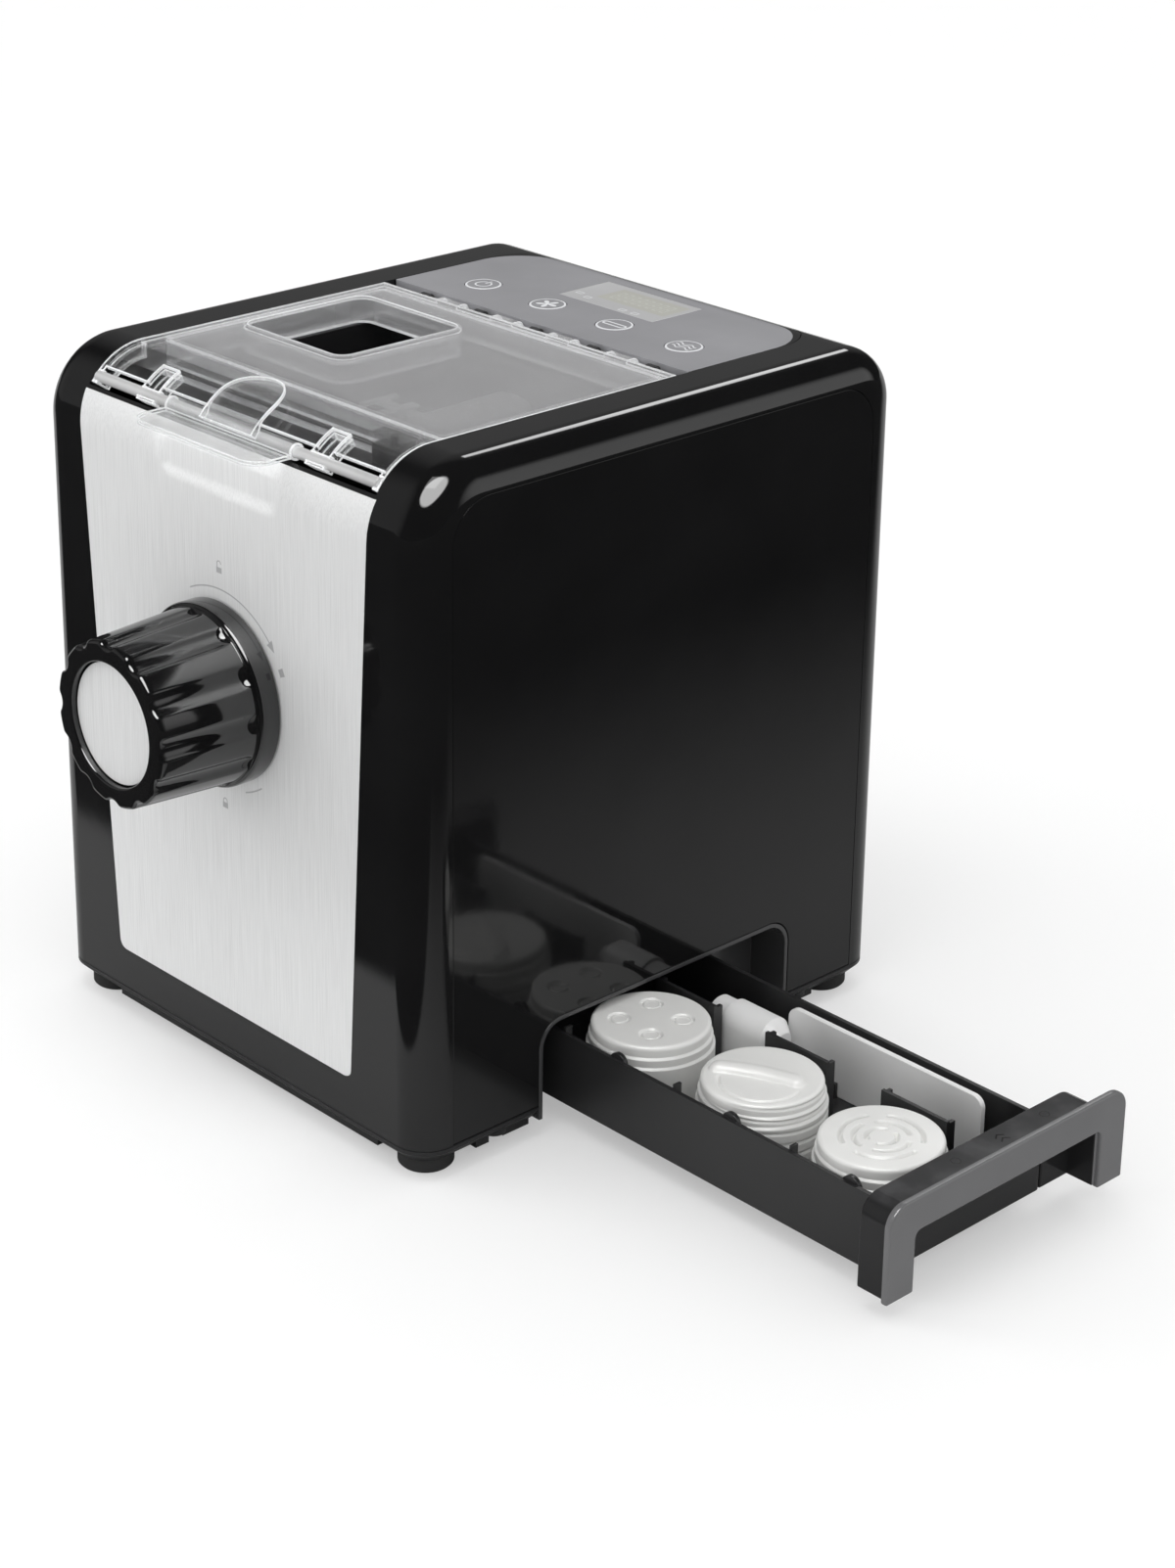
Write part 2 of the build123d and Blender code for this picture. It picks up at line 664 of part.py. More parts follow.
def key_switches():
    """One square switch under each key."""
    top = key_stem_low() - KEY_TRAVEL - SEAM
    switches = []
    for x in KEY_XS:
        base = block(x - 3, x + 3, KEY_Y - 3, KEY_Y + 3, BOARD_TOP + SEAT, top - 1)
        switches.append(base + disc_z(1.7, top - 1.5, top, x, KEY_Y))
    return Compound(children=switches)


def key(x):
    """A round key: its cap fills the hole, its flange keeps it in and its stem meets the switch."""
    cap = disc_z(KEY_RADIUS - SEAM, key_flange_top() - 1, TOP, x, KEY_Y)
    flange = disc_z(KEY_RADIUS + KEY_FLANGE, key_flange_top() - 1.2, key_flange_top(), x, KEY_Y)
    stem = disc_z(2, key_stem_low(), key_flange_top(), x, KEY_Y)
    return cap + flange + stem


# Mixing chamber and outlet
def chamber_outline(inset):
    """Front view of the chamber: wide at the top, a half round trough below."""
    half = CHAMBER_HALF_WIDTH - inset
    radius = TROUGH_RADIUS + CHAMBER_WALL - inset
    hip = LOW + SHOULDER_HEIGHT + inset / 2
    corners = [(-half, DECK_TOP + 2 * CHAMBER_LIP_THICK), (-half, hip), (-radius, AXIS_Z), (radius, AXIS_Z),
               (half, hip), (half, DECK_TOP + 2 * CHAMBER_LIP_THICK)]
    return make_face(Polyline(*corners, close=True)) + Pos(0, AXIS_Z) * Circle(radius)


def mixing_chamber():
    """The tub with its trough, hung by its lip on the deck."""
    rim = DECK_TOP + SEAT + CHAMBER_LIP_THICK
    shape = along_y(chamber_outline(0), CHAMBER_FRONT, CHAMBER_REAR)
    lip_half = CHAMBER_HALF_WIDTH + CHAMBER_LIP
    shape += block(-lip_half, lip_half, CHAMBER_FRONT - CHAMBER_LIP, CHAMBER_REAR + 1, DECK_TOP + SEAT, rim)
    shape -= block(-SIDE, SIDE, FRONT, REAR, rim, TOP)
    shape -= along_y(chamber_outline(CHAMBER_WALL), CHAMBER_FRONT + CHAMBER_WALL, CHAMBER_REAR - CHAMBER_WALL)
    shape -= disc_y(BARREL_BORE, CHAMBER_FRONT - 1, CHAMBER_FRONT + 2 * CHAMBER_WALL)
    return shape - disc_y(SHAFT_RADIUS + BUSH_WALL + SEAT, CHAMBER_REAR - 2 * CHAMBER_WALL, CHAMBER_REAR + 1)


def shaft_seal():
    """A lipped rubber ring round the shaft in the chamber's rear wall."""
    outer = SHAFT_RADIUS + BUSH_WALL
    ring = ring_y(outer, SHAFT_RADIUS + SEAM, CHAMBER_REAR - CHAMBER_WALL, CHAMBER_REAR + 3)
    return ring + ring_y(outer + 2, outer - 1, CHAMBER_REAR + SEAT, CHAMBER_REAR + 3)


def outlet_barrel():
    """The tube from the chamber through the front, with a seat for the die and bayonet lugs."""
    start = CHAMBER_FRONT - SEAT
    shape = ring_y(BARREL_RADIUS, BARREL_BORE, BARREL_END, start)
    shape += ring_y(BARREL_RADIUS + 8, BARREL_BORE, start - 4, start)
    shape -= disc_y(DIE_RADIUS + SEAM, BARREL_END - 1, BARREL_END + DIE_DEPTH)
    return shape + lugs(BARREL_RADIUS - 1, BARREL_RADIUS + LUG_DEPTH, BARREL_END, BARREL_END + LUG_THICK, 0)


def lugs(inner, outer, y0, y1, start):
    """Bayonet lugs spaced evenly round the outlet's axis."""
    ring = Circle(outer) - Circle(inner)
    spread = math.radians(LUG_ANGLE / 2)
    reach = 2 * outer
    wedge = make_face(Polyline((0, 0), (reach, -reach * math.tan(spread)),
                               (reach, reach * math.tan(spread)), close=True))
    face = ring & wedge
    shape = None
    for k in range(LUG_COUNT):
        turned = Pos(0, AXIS_Z) * Rot(0, 0, start + 360 * k / LUG_COUNT) * face
        lug = along_y(turned, y0, y1)
        shape = lug if shape is None else shape + lug
    return shape


def shaping_die():
    """The die in use, in the barrel's mouth: a disc with a ring of round holes."""
    shape = disc_y(DIE_RADIUS, BARREL_END + 0.2, BARREL_END + DIE_DEPTH - SEAT)
    for k in range(8):
        turn = 2 * math.pi * k / 8
        x, z = 14 * math.cos(turn), AXIS_Z + 14 * math.sin(turn)
        shape -= disc_y(3.2, BARREL_END - 1, BARREL_END + DIE_DEPTH + 1, x, z)
    return shape


# Lid and latch
def lid():
    """The clear lid: a curved plate with skirt, inlet walls, rod arms and hinge knuckles."""
    half = OPENING_HALF_WIDTH - LID_SIDE_GAP
    rear = HINGE_Y - HINGE_BARREL - SHAKE
    edge_y, edge_z = curve_point(LID_EDGE_ANGLE)
    plate = along_x(side_profile(0, LOW) - side_profile(LID_THICK, LOW), -half, half)
    flat = plate & block(-half, half, CURVE_Y, rear, CURVE_Z, TOP)
    band = along_x(curve_band(FRONT_TOP_RADIUS - LID_THICK, FRONT_TOP_RADIUS, LID_EDGE_ANGLE, 90), -half, half)
    shape = flat + band
    skirt_half = CHAMBER_HALF_WIDTH + CHAMBER_LIP + 1
    skirt_front, skirt_rear = CHAMBER_FRONT - CHAMBER_LIP - 1, CHAMBER_REAR - 1
    low = TOP - LID_THICK - LID_SKIRT
    ring = rectangle(-skirt_half, skirt_half, skirt_front, skirt_rear, 4)
    ring -= offset(ring, -LID_SKIRT_THICK)
    shape += along_z(ring, low, TOP - LID_THICK / 2)
    inlet = rectangle(INLET_X - INLET_WIDTH / 2, INLET_X + INLET_WIDTH / 2, INLET_Y - INLET_LENGTH / 2,
                      INLET_Y + INLET_LENGTH / 2, INLET_CORNER)
    walls = offset(inlet, LID_SKIRT_THICK)
    shape += along_z(walls, low, TOP - LID_THICK / 2)
    shape -= along_z(inlet, low - 1, TOP + 1)
    for sign in (-1, 1):
        cheek = curve_band(FRONT_TOP_RADIUS - 8, FRONT_TOP_RADIUS, LID_ARM_ANGLE, 90)
        shape += along_x(cheek, *sorted((sign * half, sign * (half - 3))))
        arm = curve_band(FRONT_TOP_RADIUS - 5, FRONT_TOP_RADIUS + 0.8, LID_ARM_ANGLE, ARM_TOP_ANGLE)
        shape += along_x(arm, *sorted((sign * ARM_INNER, sign * ARM_OUTER)))
    for x in lid_knuckles():
        x0, x1 = x - LID_KNUCKLE / 2, x + LID_KNUCKLE / 2
        shape += disc_x(HINGE_BARREL, x0, x1, HINGE_Y, HINGE_Z)
        shape += block(x0, x1, rear - 1, HINGE_Y, TOP - LID_THICK, HINGE_Z + HINGE_BARREL)
    shape -= disc_x(PIN_RADIUS + RUNNING, -SIDE, SIDE, HINGE_Y, HINGE_Z)
    return shape - disc_x(ROD_RADIUS + SEAT / 2, -half + 1, half - 1, ROD_Y, ROD_Z)


def lid_knuckles():
    return [HINGE_SHIFT + HINGE_PITCH * (k - 1.5) for k in range(4)]


def bracket_ears():
    return [HINGE_SHIFT + HINGE_PITCH * (k - 2) for k in range(5)]


def hinge_bracket():
    """The fixed half of the lid's hinge: a strip on the deck with five ears."""
    low = DECK_TOP + SEAT
    strip_front, strip_rear = HINGE_Y - 1.6, HINGE_Y + HINGE_BARREL + 2
    half = 2 * HINGE_PITCH + BRACKET_EAR
    shape = block(HINGE_SHIFT - half, HINGE_SHIFT + half, strip_front, strip_rear, low, low + 2)
    for x in bracket_ears():
        x0, x1 = x - BRACKET_EAR / 2, x + BRACKET_EAR / 2
        shape += block(x0, x1, strip_front, HINGE_Y + 1.6, low, HINGE_Z)
        shape += disc_x(HINGE_BARREL - 0.2, x0, x1, HINGE_Y, HINGE_Z)
    return shape - disc_x(PIN_RADIUS + SEAT / 2, -SIDE, SIDE, HINGE_Y, HINGE_Z)


def hinge_pin():
    half = 2 * HINGE_PITCH + BRACKET_EAR
    return disc_x(PIN_RADIUS, HINGE_SHIFT - half, HINGE_SHIFT + half, HINGE_Y, HINGE_Z)


def latch_rod():
    """The rod along the lid's front edge, held in the lid's arms and cheeks."""
    half = OPENING_HALF_WIDTH - LID_SIDE_GAP - 1.2
    return disc_x(ROD_RADIUS, -half, half, ROD_Y, ROD_Z)


def lid_latch():
    """The clear latch on the rod: a sleeve, a finger lip in front and a round thumb tab above."""
    shape = disc_x(LATCH_KNUCKLE, -LATCH_HALF_WIDTH, LATCH_HALF_WIDTH, ROD_Y, ROD_Z)
    lip_low = ROD_Z - LIP_DROP
    lip = rectangle(-LATCH_HALF_WIDTH, LATCH_HALF_WIDTH, ROD_Y - LIP_REACH, ROD_Y + 4, 4)
    lip &= rectangle(-LATCH_HALF_WIDTH, LATCH_HALF_WIDTH, ROD_Y - LIP_REACH, ROD_Y - 1)
    shape += along_z(lip, lip_low, lip_low + LIP_THICK)
    inner = FRONT_TOP_RADIUS + TAB_RISE
    left, right = TAB_X - TAB_HALF_WIDTH, TAB_X + TAB_HALF_WIDTH
    tab = along_x(curve_band(inner, inner + TAB_THICK, ROD_ANGLE - 4, TAB_END_ANGLE), left, right)
    tab_rear = curve_point(TAB_END_ANGLE, -TAB_RISE)[0]
    plan = rectangle(left, right, 2 * FRONT, tab_rear, TAB_CORNER)
    shape += tab & along_z(plan, CURVE_Z, TOP + 10)
    web = curve_band(FRONT_TOP_RADIUS - ROD_INSET, inner + TAB_THICK / 2, ROD_ANGLE - 4, ROD_ANGLE + 2)
    shape += along_x(web, left, right)
    return shape - disc_x(ROD_RADIUS + RUNNING, -SIDE, SIDE, ROD_Y, ROD_Z)


def lid_switch():
    """The safety switch that the closed lid presses."""
    x0 = CHAMBER_HALF_WIDTH - 24
    y0 = CHAMBER_FRONT - CHAMBER_LIP - 12
    low = DECK_TOP + SEAT
    shape = block(x0, x0 + 20, y0, y0 + 6.5, low, low + 8)
    return shape + disc_z(1.5, low + 7, TOP - LID_THICK - SEAM, x0 + 10, y0 + 3.2)


# Knob and outlet cap
def lock_knob():
    """The locking knob: a smooth collar, a fluted tapering grip and lugs behind the barrel's."""
    start, end = FRONT - KNOB_GAP, FRONT - KNOB_REACH
    shape = disc_y(KNOB_COLLAR_RADIUS, start - KNOB_COLLAR_DEPTH, start)
    shape = fillet(shape.edges().group_by(Axis.Y)[0], 2)
    grip_start = start - KNOB_COLLAR_DEPTH + 1
    grip_length = grip_start - end
    grip = Plane(origin=(0, grip_start, AXIS_Z), z_dir=(0, -1, 0))
    cone = grip * Cone(KNOB_REAR_RADIUS, KNOB_FRONT_RADIUS, grip_length,
                       align=(Align.CENTER, Align.CENTER, Align.MIN))
    for k in range(FLUTE_COUNT):
        cone -= flute(360 * (k + 0.5) / FLUTE_COUNT, grip_start, end)
    cone = cone & disc_y(SIDE, end, grip_start)
    shape += cone
    bore_end = BARREL_END - SHAKE
    shape -= disc_y(BARREL_RADIUS + LUG_DEPTH + SHAKE, bore_end, start + 1)
    shape -= disc_y(CAP_RADIUS + SEAM, end - 1, bore_end + 1)
    lug_y = BARREL_END + LUG_THICK + SEAM
    ring = lugs(BARREL_RADIUS + SEAM, BARREL_RADIUS + LUG_DEPTH + 1, lug_y, lug_y + LUG_THICK, 0)
    return shape + ring


def flute(turn, grip_start, end):
    """One hollow of the grip: a tapered round groove with a ball end near the collar."""
    angle = math.radians(turn)
    points = []
    for radius, y in ((KNOB_REAR_RADIUS, grip_start - 5), (KNOB_FRONT_RADIUS, end - 1)):
        reach = radius - FLUTE_DEPTH + FLUTE_RADIUS
        points.append(Vector(reach * math.cos(angle), y, AXIS_Z + reach * math.sin(angle)))
    path = points[1] - points[0]
    groove = extrude(Plane(origin=points[0], z_dir=path) * Circle(FLUTE_RADIUS), path.length)
    return groove + Pos(*points[0]) * Sphere(FLUTE_RADIUS)


def outlet_cap():
    """The cup that plugs the knob's mouth."""
    face = FRONT - KNOB_REACH + CAP_SET_BACK + STEEL_THICK + SEAT
    cup = disc_y(CAP_RADIUS, face, face + CAP_DEPTH)
    return cup - disc_y(CAP_RADIUS - 2, face + 2, face + CAP_DEPTH + 1)


def cap_face():
    """The round steel face of the outlet cap."""
    face = FRONT - KNOB_REACH + CAP_SET_BACK
    return disc_y(CAP_RADIUS - 0.2, face, face + STEEL_THICK)


# Drive
def gear_outline(teeth, module, phase):
    """An involute gear with its first tooth at phase degrees."""
    pitch = module * teeth / 2
    base = pitch * math.cos(math.radians(PRESSURE_ANGLE))
    tip = pitch + module
    root = pitch - 1.25 * module
    half = math.pi / (2 * teeth) - BACKLASH / (2 * pitch)

    def involute(radius):
        slope = math.sqrt(max((radius / base) ** 2 - 1, 0))
        return slope - math.atan(slope)

    start = max(base, root)
    radii = [start, (start + pitch) / 2, pitch, (pitch + tip) / 2, tip]
    flank = [(r, half + involute(pitch) - involute(r)) for r in radii]
    if start > root:
        flank.insert(0, (root, flank[0][1]))
    outline = []
    for k in range(teeth):
        centre = math.radians(phase) + 2 * math.pi * k / teeth
        rise = [(r, centre - a) for r, a in flank]
        fall = [(r, centre + a) for r, a in reversed(flank)]
        outline += [(r * math.cos(a), r * math.sin(a)) for r, a in rise + fall]
    return make_face(Polyline(*outline, close=True))


def toward_idler():
    """Direction from the output gear's centre to the idler's, in degrees in the front view."""
    return math.degrees(math.atan2(IDLER_Z - AXIS_Z, IDLER_X))


def toward_motor():
    """Direction from the idler's centre to the motor's, in degrees in the front view."""
    return math.degrees(math.atan2(MOTOR_Z - IDLER_Z, -IDLER_X))


def gear(teeth, module, phase, y0, y1, x, z):
    return along_y(Pos(x, z) * gear_outline(teeth, module, phase), y0, y1)


def output_gear():
    """The slow gear on the drive shaft, with a hub and five lightening holes."""
    shape = gear(OUTPUT_TEETH, SLOW_MODULE, toward_idler(), SLOW_START, SLOW_START + SLOW_FACE - 2, 0, AXIS_Z)
    shape += disc_y(SHAFT_RADIUS + 6, SLOW_START - 1, SLOW_START + SLOW_FACE + 1)
    for k in range(5):
        turn = 2 * math.pi * k / 5
        shape -= disc_y(7, SLOW_START - 2, SLOW_START + 2 * SLOW_FACE, 26 * math.cos(turn),
                        AXIS_Z + 26 * math.sin(turn))
    return shape - disc_y(SHAFT_RADIUS + SEAT / 2, SLOW_START - 2, SLOW_START + 2 * SLOW_FACE)


def drive_shaft():
    """The steel shaft from the gearcase through the seal into the auger."""
    return disc_y(SHAFT_RADIUS, CHAMBER_REAR - 24, GEARCASE_REAR - 1)


def kneading_auger():
    """The auger: a hub with kneading arms in the chamber and a screw in the barrel."""
    rear = CHAMBER_REAR - CHAMBER_WALL - 1
    tip = BARREL_END + DIE_DEPTH + 2
    screw_start = CHAMBER_FRONT + 4
    shape = disc_y(HUB_RADIUS, tip, rear)
    reach = TROUGH_RADIUS - SWEEP_GAP
    span = (rear - 10 - screw_start - 12) / ARM_COUNT
    for k in range(ARM_COUNT):
        angle = math.pi / 2 * k
        y = screw_start + 12 + span * (k + 0.5)
        out = Vector(math.cos(angle), 0, math.sin(angle))
        base = Vector(0, y, AXIS_Z)
        arm = extrude(Plane(origin=base, z_dir=out) * Circle(ARM_RADIUS), reach - ARM_RADIUS)
        blade_centre = base + out * (reach - ARM_RADIUS)
        blade = Plane(origin=blade_centre, z_dir=out, x_dir=(0, 1, 0)) * Box(span * 0.9, 6, 2.6)
        shape += arm + blade
    turns = SCREW_TURNS * SCREW_PITCH
    flight_reach = BARREL_BORE - 0.8
    path = Helix(SCREW_PITCH, turns, HUB_RADIUS - 1)
    profile = Plane(origin=path @ 0, x_dir=(1, 0, 0), z_dir=path % 0) * (
        Pos((flight_reach - HUB_RADIUS + 1) / 2, 0) * Rectangle(flight_reach - HUB_RADIUS + 1, FLIGHT_THICK))
    flight = sweep(profile, path, is_frenet=True)
    placed = Plane(origin=(0, tip + FLIGHT_THICK, AXIS_Z), z_dir=(0, 1, 0)) * flight
    shape += placed
    bore_start = CHAMBER_REAR - 24 - 1
    return shape - disc_y(SHAFT_RADIUS + SEAT / 2, bore_start, rear + 1)


def idler_gear():
    """The two-step idler: a small gear in mesh with the output gear and a large one behind it."""
    small_phase = toward_idler() + 180 + 180 / IDLER_SMALL_TEETH
    shape = gear(IDLER_SMALL_TEETH, SLOW_MODULE, small_phase, SLOW_START - 1, FAST_START + 1, IDLER_X, IDLER_Z)
    shape += gear(IDLER_LARGE_TEETH, FAST_MODULE, toward_motor(), FAST_START, FAST_START + FAST_FACE,
                  IDLER_X, IDLER_Z)
    return shape - disc_y(AXLE_RADIUS + RUNNING, SLOW_START - 2, GEARCASE_REAR, IDLER_X, IDLER_Z)


def idler_axle():
    return disc_y(AXLE_RADIUS, GEARCASE_FRONT + 0.2, PLATE_REAR - 0.2, IDLER_X, IDLER_Z)


def motor_pinion():
    phase = toward_motor() + 180 + 180 / PINION_TEETH
    shape = gear(PINION_TEETH, FAST_MODULE, phase, FAST_START - 1, FAST_START + FAST_FACE + 1, 0, MOTOR_Z)
    return shape - disc_y(MOTOR_SHAFT / 2 + SEAT / 2, FAST_START - 2, GEARCASE_REAR, 0, MOTOR_Z)


def gearcase_outline(inset):
    half = SLOW_MODULE * OUTPUT_TEETH / 2 + 6 - inset
    high = AXIS_Z + half
    low = MOTOR_Z - FAST_MODULE * PINION_TEETH - 4 + inset
    return rectangle(-half, half, low, high, 12 - inset)


def gearcase():
    """The open box that holds the gears, with a boss for the shaft's front bush."""
    shape = along_y(gearcase_outline(0), GEARCASE_FRONT, GEARCASE_REAR)
    shape -= along_y(gearcase_outline(GEARCASE_WALL), GEARCASE_FRONT + GEARCASE_WALL, GEARCASE_REAR + 1)
    seat = SHAFT_RADIUS + BUSH_WALL
    shape += disc_y(seat + 3, GEARCASE_FRONT, GEARCASE_FRONT + BUSH_LENGTH - 1)
    shape -= disc_y(seat + SEAT / 2, GEARCASE_FRONT - 1, GEARCASE_FRONT + 2 * BUSH_LENGTH)
    shape -= disc_y(AXLE_RADIUS + SEAT / 2, GEARCASE_FRONT - 1, GEARCASE_FRONT + 5, IDLER_X, IDLER_Z)
    return shape - disc_y(MOTOR_SHAFT / 2 + SHAKE, GEARCASE_FRONT - 1, GEARCASE_FRONT + 5, 0, MOTOR_Z)


def back_plate():
    """The steel plate that closes the gearcase and stands on the base."""
    high = AXIS_Z + SLOW_MODULE * OUTPUT_TEETH / 2 + 6
    low = FLOOR_TOP + SEAT
    shape = block(-BACK_PLATE_HALF, BACK_PLATE_HALF, PLATE_FRONT, PLATE_REAR, low, high)
    shape += block(-BACK_PLATE_HALF, BACK_PLATE_HALF, PLATE_FRONT, PLATE_REAR + BACK_PLATE_FOOT, low,
                   low + BACK_PLATE)
    shape -= disc_y(SHAFT_RADIUS + BUSH_WALL + SEAT / 2, PLATE_FRONT - 1, PLATE_REAR + 1)
    return shape - disc_y(AXLE_RADIUS + SEAT / 2, PLATE_FRONT - 1, PLATE_REAR + 1, IDLER_X, IDLER_Z)


def shaft_bushes():
    """The two bronze bushes of the drive shaft."""
    outer, inner = SHAFT_RADIUS + BUSH_WALL, SHAFT_RADIUS + RUNNING
    front = ring_y(outer, inner, GEARCASE_FRONT, GEARCASE_FRONT + BUSH_LENGTH)
    rear = ring_y(outer, inner, PLATE_FRONT - BUSH_LENGTH, PLATE_REAR)
    return Compound(children=[front, rear])


def motor_front():
    return GEARCASE_FRONT - SEAT - MOTOR_LENGTH


def motor_case():
    """The motor's field case: a thick tube round the armature, opened out round the fan."""
    front, rear = motor_front(), GEARCASE_FRONT - SEAT
    shape = disc_y(MOTOR_RADIUS, front, rear, 0, MOTOR_Z)
    shape -= disc_y(STATOR_BORE, front - 1, rear - 4, 0, MOTOR_Z)
    shape -= disc_y(FAN_RADIUS + 2, rear - 24, rear - 4, 0, MOTOR_Z)
    shape -= disc_y(MOTOR_SHAFT / 2 + RUNNING, front, rear + 1, 0, MOTOR_Z)
    for k in range(4):
        slot = block(-5, 5, rear - 22, rear - 8, MOTOR_RADIUS - 8, MOTOR_RADIUS + 2)
        shape -= Pos(0, 0, MOTOR_Z) * Rot(0, 45 + 90 * k, 0) * slot
    return shape


def motor_end_cap():
    """The cup that closes the motor's front and carries its other bearing."""
    rear = motor_front() - SEAT
    shape = disc_y(MOTOR_RADIUS, rear - END_CAP_DEPTH, rear, 0, MOTOR_Z)
    shape -= disc_y(STATOR_BORE, rear - END_CAP_DEPTH + 3, rear + 1, 0, MOTOR_Z)
    return shape - disc_y(MOTOR_SHAFT / 2 + RUNNING, rear - 20, rear + 1, 0, MOTOR_Z)


def motor_cradle():
    """The saddle that carries the motor's front end on the drawer bay's roof."""
    y1 = motor_front() + 26
    y0 = y1 - 14
    low = BAY_TOP + SEAT
    shape = block(-MOTOR_RADIUS - 4, MOTOR_RADIUS + 4, y0, y1, low, MOTOR_Z)
    return shape - disc_y(MOTOR_RADIUS + SEAM, y0 - 1, y1 + 1, 0, MOTOR_Z)


def motor_shaft():
    return disc_y(MOTOR_SHAFT / 2, motor_front() - END_CAP_DEPTH - 3, FAST_START + FAST_FACE + 3, 0, MOTOR_Z)


def armature():
    """The slotted armature with its commutator."""
    start = motor_front() + 6
    shape = disc_y(ARMATURE_RADIUS, start, start + ARMATURE_LENGTH, 0, MOTOR_Z)
    for k in range(12):
        slot = block(-1.2, 1.2, start - 1, start + ARMATURE_LENGTH + 1, ARMATURE_RADIUS - 5, ARMATURE_RADIUS + 1)
        shape -= Pos(0, 0, MOTOR_Z) * Rot(0, 30 * k, 0) * slot
    shape += disc_y(9, start - 10, start + 1, 0, MOTOR_Z)
    return shape - disc_y(MOTOR_SHAFT / 2 + SEAT / 2, start - 20, start + 2 * ARMATURE_LENGTH, 0, MOTOR_Z)


def cooling_fan():
    """The fan behind the armature: a hub, a disc and straight blades."""
    start = GEARCASE_FRONT - SEAT - 22
    shape = disc_y(6, start, start + 14, 0, MOTOR_Z) + disc_y(FAN_RADIUS, start, start + 2, 0, MOTOR_Z)
    for k in range(FAN_BLADES):
        blade = block(-0.8, 0.8, start + 1, start + 12, 5, FAN_RADIUS - 0.5)
        shape += Pos(0, 0, MOTOR_Z) * Rot(0, 360 * k / FAN_BLADES, 0) * blade
    return shape - disc_y(MOTOR_SHAFT / 2 + SEAT / 2, start - 1, start + 20, 0, MOTOR_Z)


def power_board():
    """The mains board on four posts, with its transformer, relay and capacitors."""
    x0, x1 = -SIDE + 14, -BACK_PLATE_HALF - 8
    y0, y1 = TRAY_RIGHT + 14, REAR - 24
    low = FLOOR_TOP + 6
    shape = block(x0, x1, y0, y1, low, low + BOARD_THICK)
    for x in (x0 + 4, x1 - 4):
        for y in (y0 + 4, y1 - 4):
            shape += disc_z(2.5, FLOOR_TOP + SEAT, low + 1, x, y)
    shape += block(x0 + 8, x0 + 34, y0 + 8, y0 + 30, low + 1, low + 22)
    shape += block(x0 + 8, x0 + 22, y0 + 38, y0 + 56, low + 1, low + 14)
    for k in range(2):
        shape += disc_z(5, low + 1, low + 18, x0 + 32, y0 + 38 + 13 * k)
    return shape


def cord_gland():
    """The flanged bush in the rear wall that the mains cord passes."""
    z = LOW + GLAND_Z
    shape = ring_y(GLAND_RADIUS, GLAND_BORE, REAR - 2 * WALL, REAR + GLAND_REACH, GLAND_X, z)
    return shape + ring_y(GLAND_FLANGE, GLAND_BORE, REAR + SEAT, REAR + 2.5, GLAND_X, z)


# Drawer
def drawer_bay():
    """The tunnel that the tray runs in: roof, two walls and an end stop."""
    left, right = TRAY_LEFT - SHAKE, TRAY_RIGHT + SHAKE
    x0, x1 = -SIDE + WALL + BASE_CHAMFER, SURROUND_BACK - SEAM
    low, high = FLOOR_TOP + SEAT, BAY_TOP
    shape = block(x0, x1, left - BAY_WALL, right + BAY_WALL, low, high)
    return shape - block(x0 + BAY_WALL, x1 + 1, left, right, low - 1, high - BAY_WALL)


def drawer_surround():
    """The collar of the drawer's doorway, with a back wall round the tray."""
    outer_half = SURROUND_HALF + SURROUND_WALL
    radius = FLANGE_CORNER + OPENING_GAP
    low = LOW + 0.4
    outer = arch(DRAWER_Y - outer_half, DRAWER_Y + outer_half, low, SURROUND_TOP + SURROUND_WALL,
                 radius + SURROUND_WALL)
    inner = arch(DRAWER_Y - SURROUND_HALF, DRAWER_Y + SURROUND_HALF, low - 1, SURROUND_TOP, radius)
    shape = along_x(outer, SURROUND_BACK, SIDE)
    shape -= along_x(inner, SURROUND_BACK + SURROUND_WALL, SIDE + 1)
    return shape - block(SURROUND_BACK - 1, SIDE, TRAY_LEFT - 1, TRAY_RIGHT + 1, low - 1, SURROUND_TOP - 0.6)


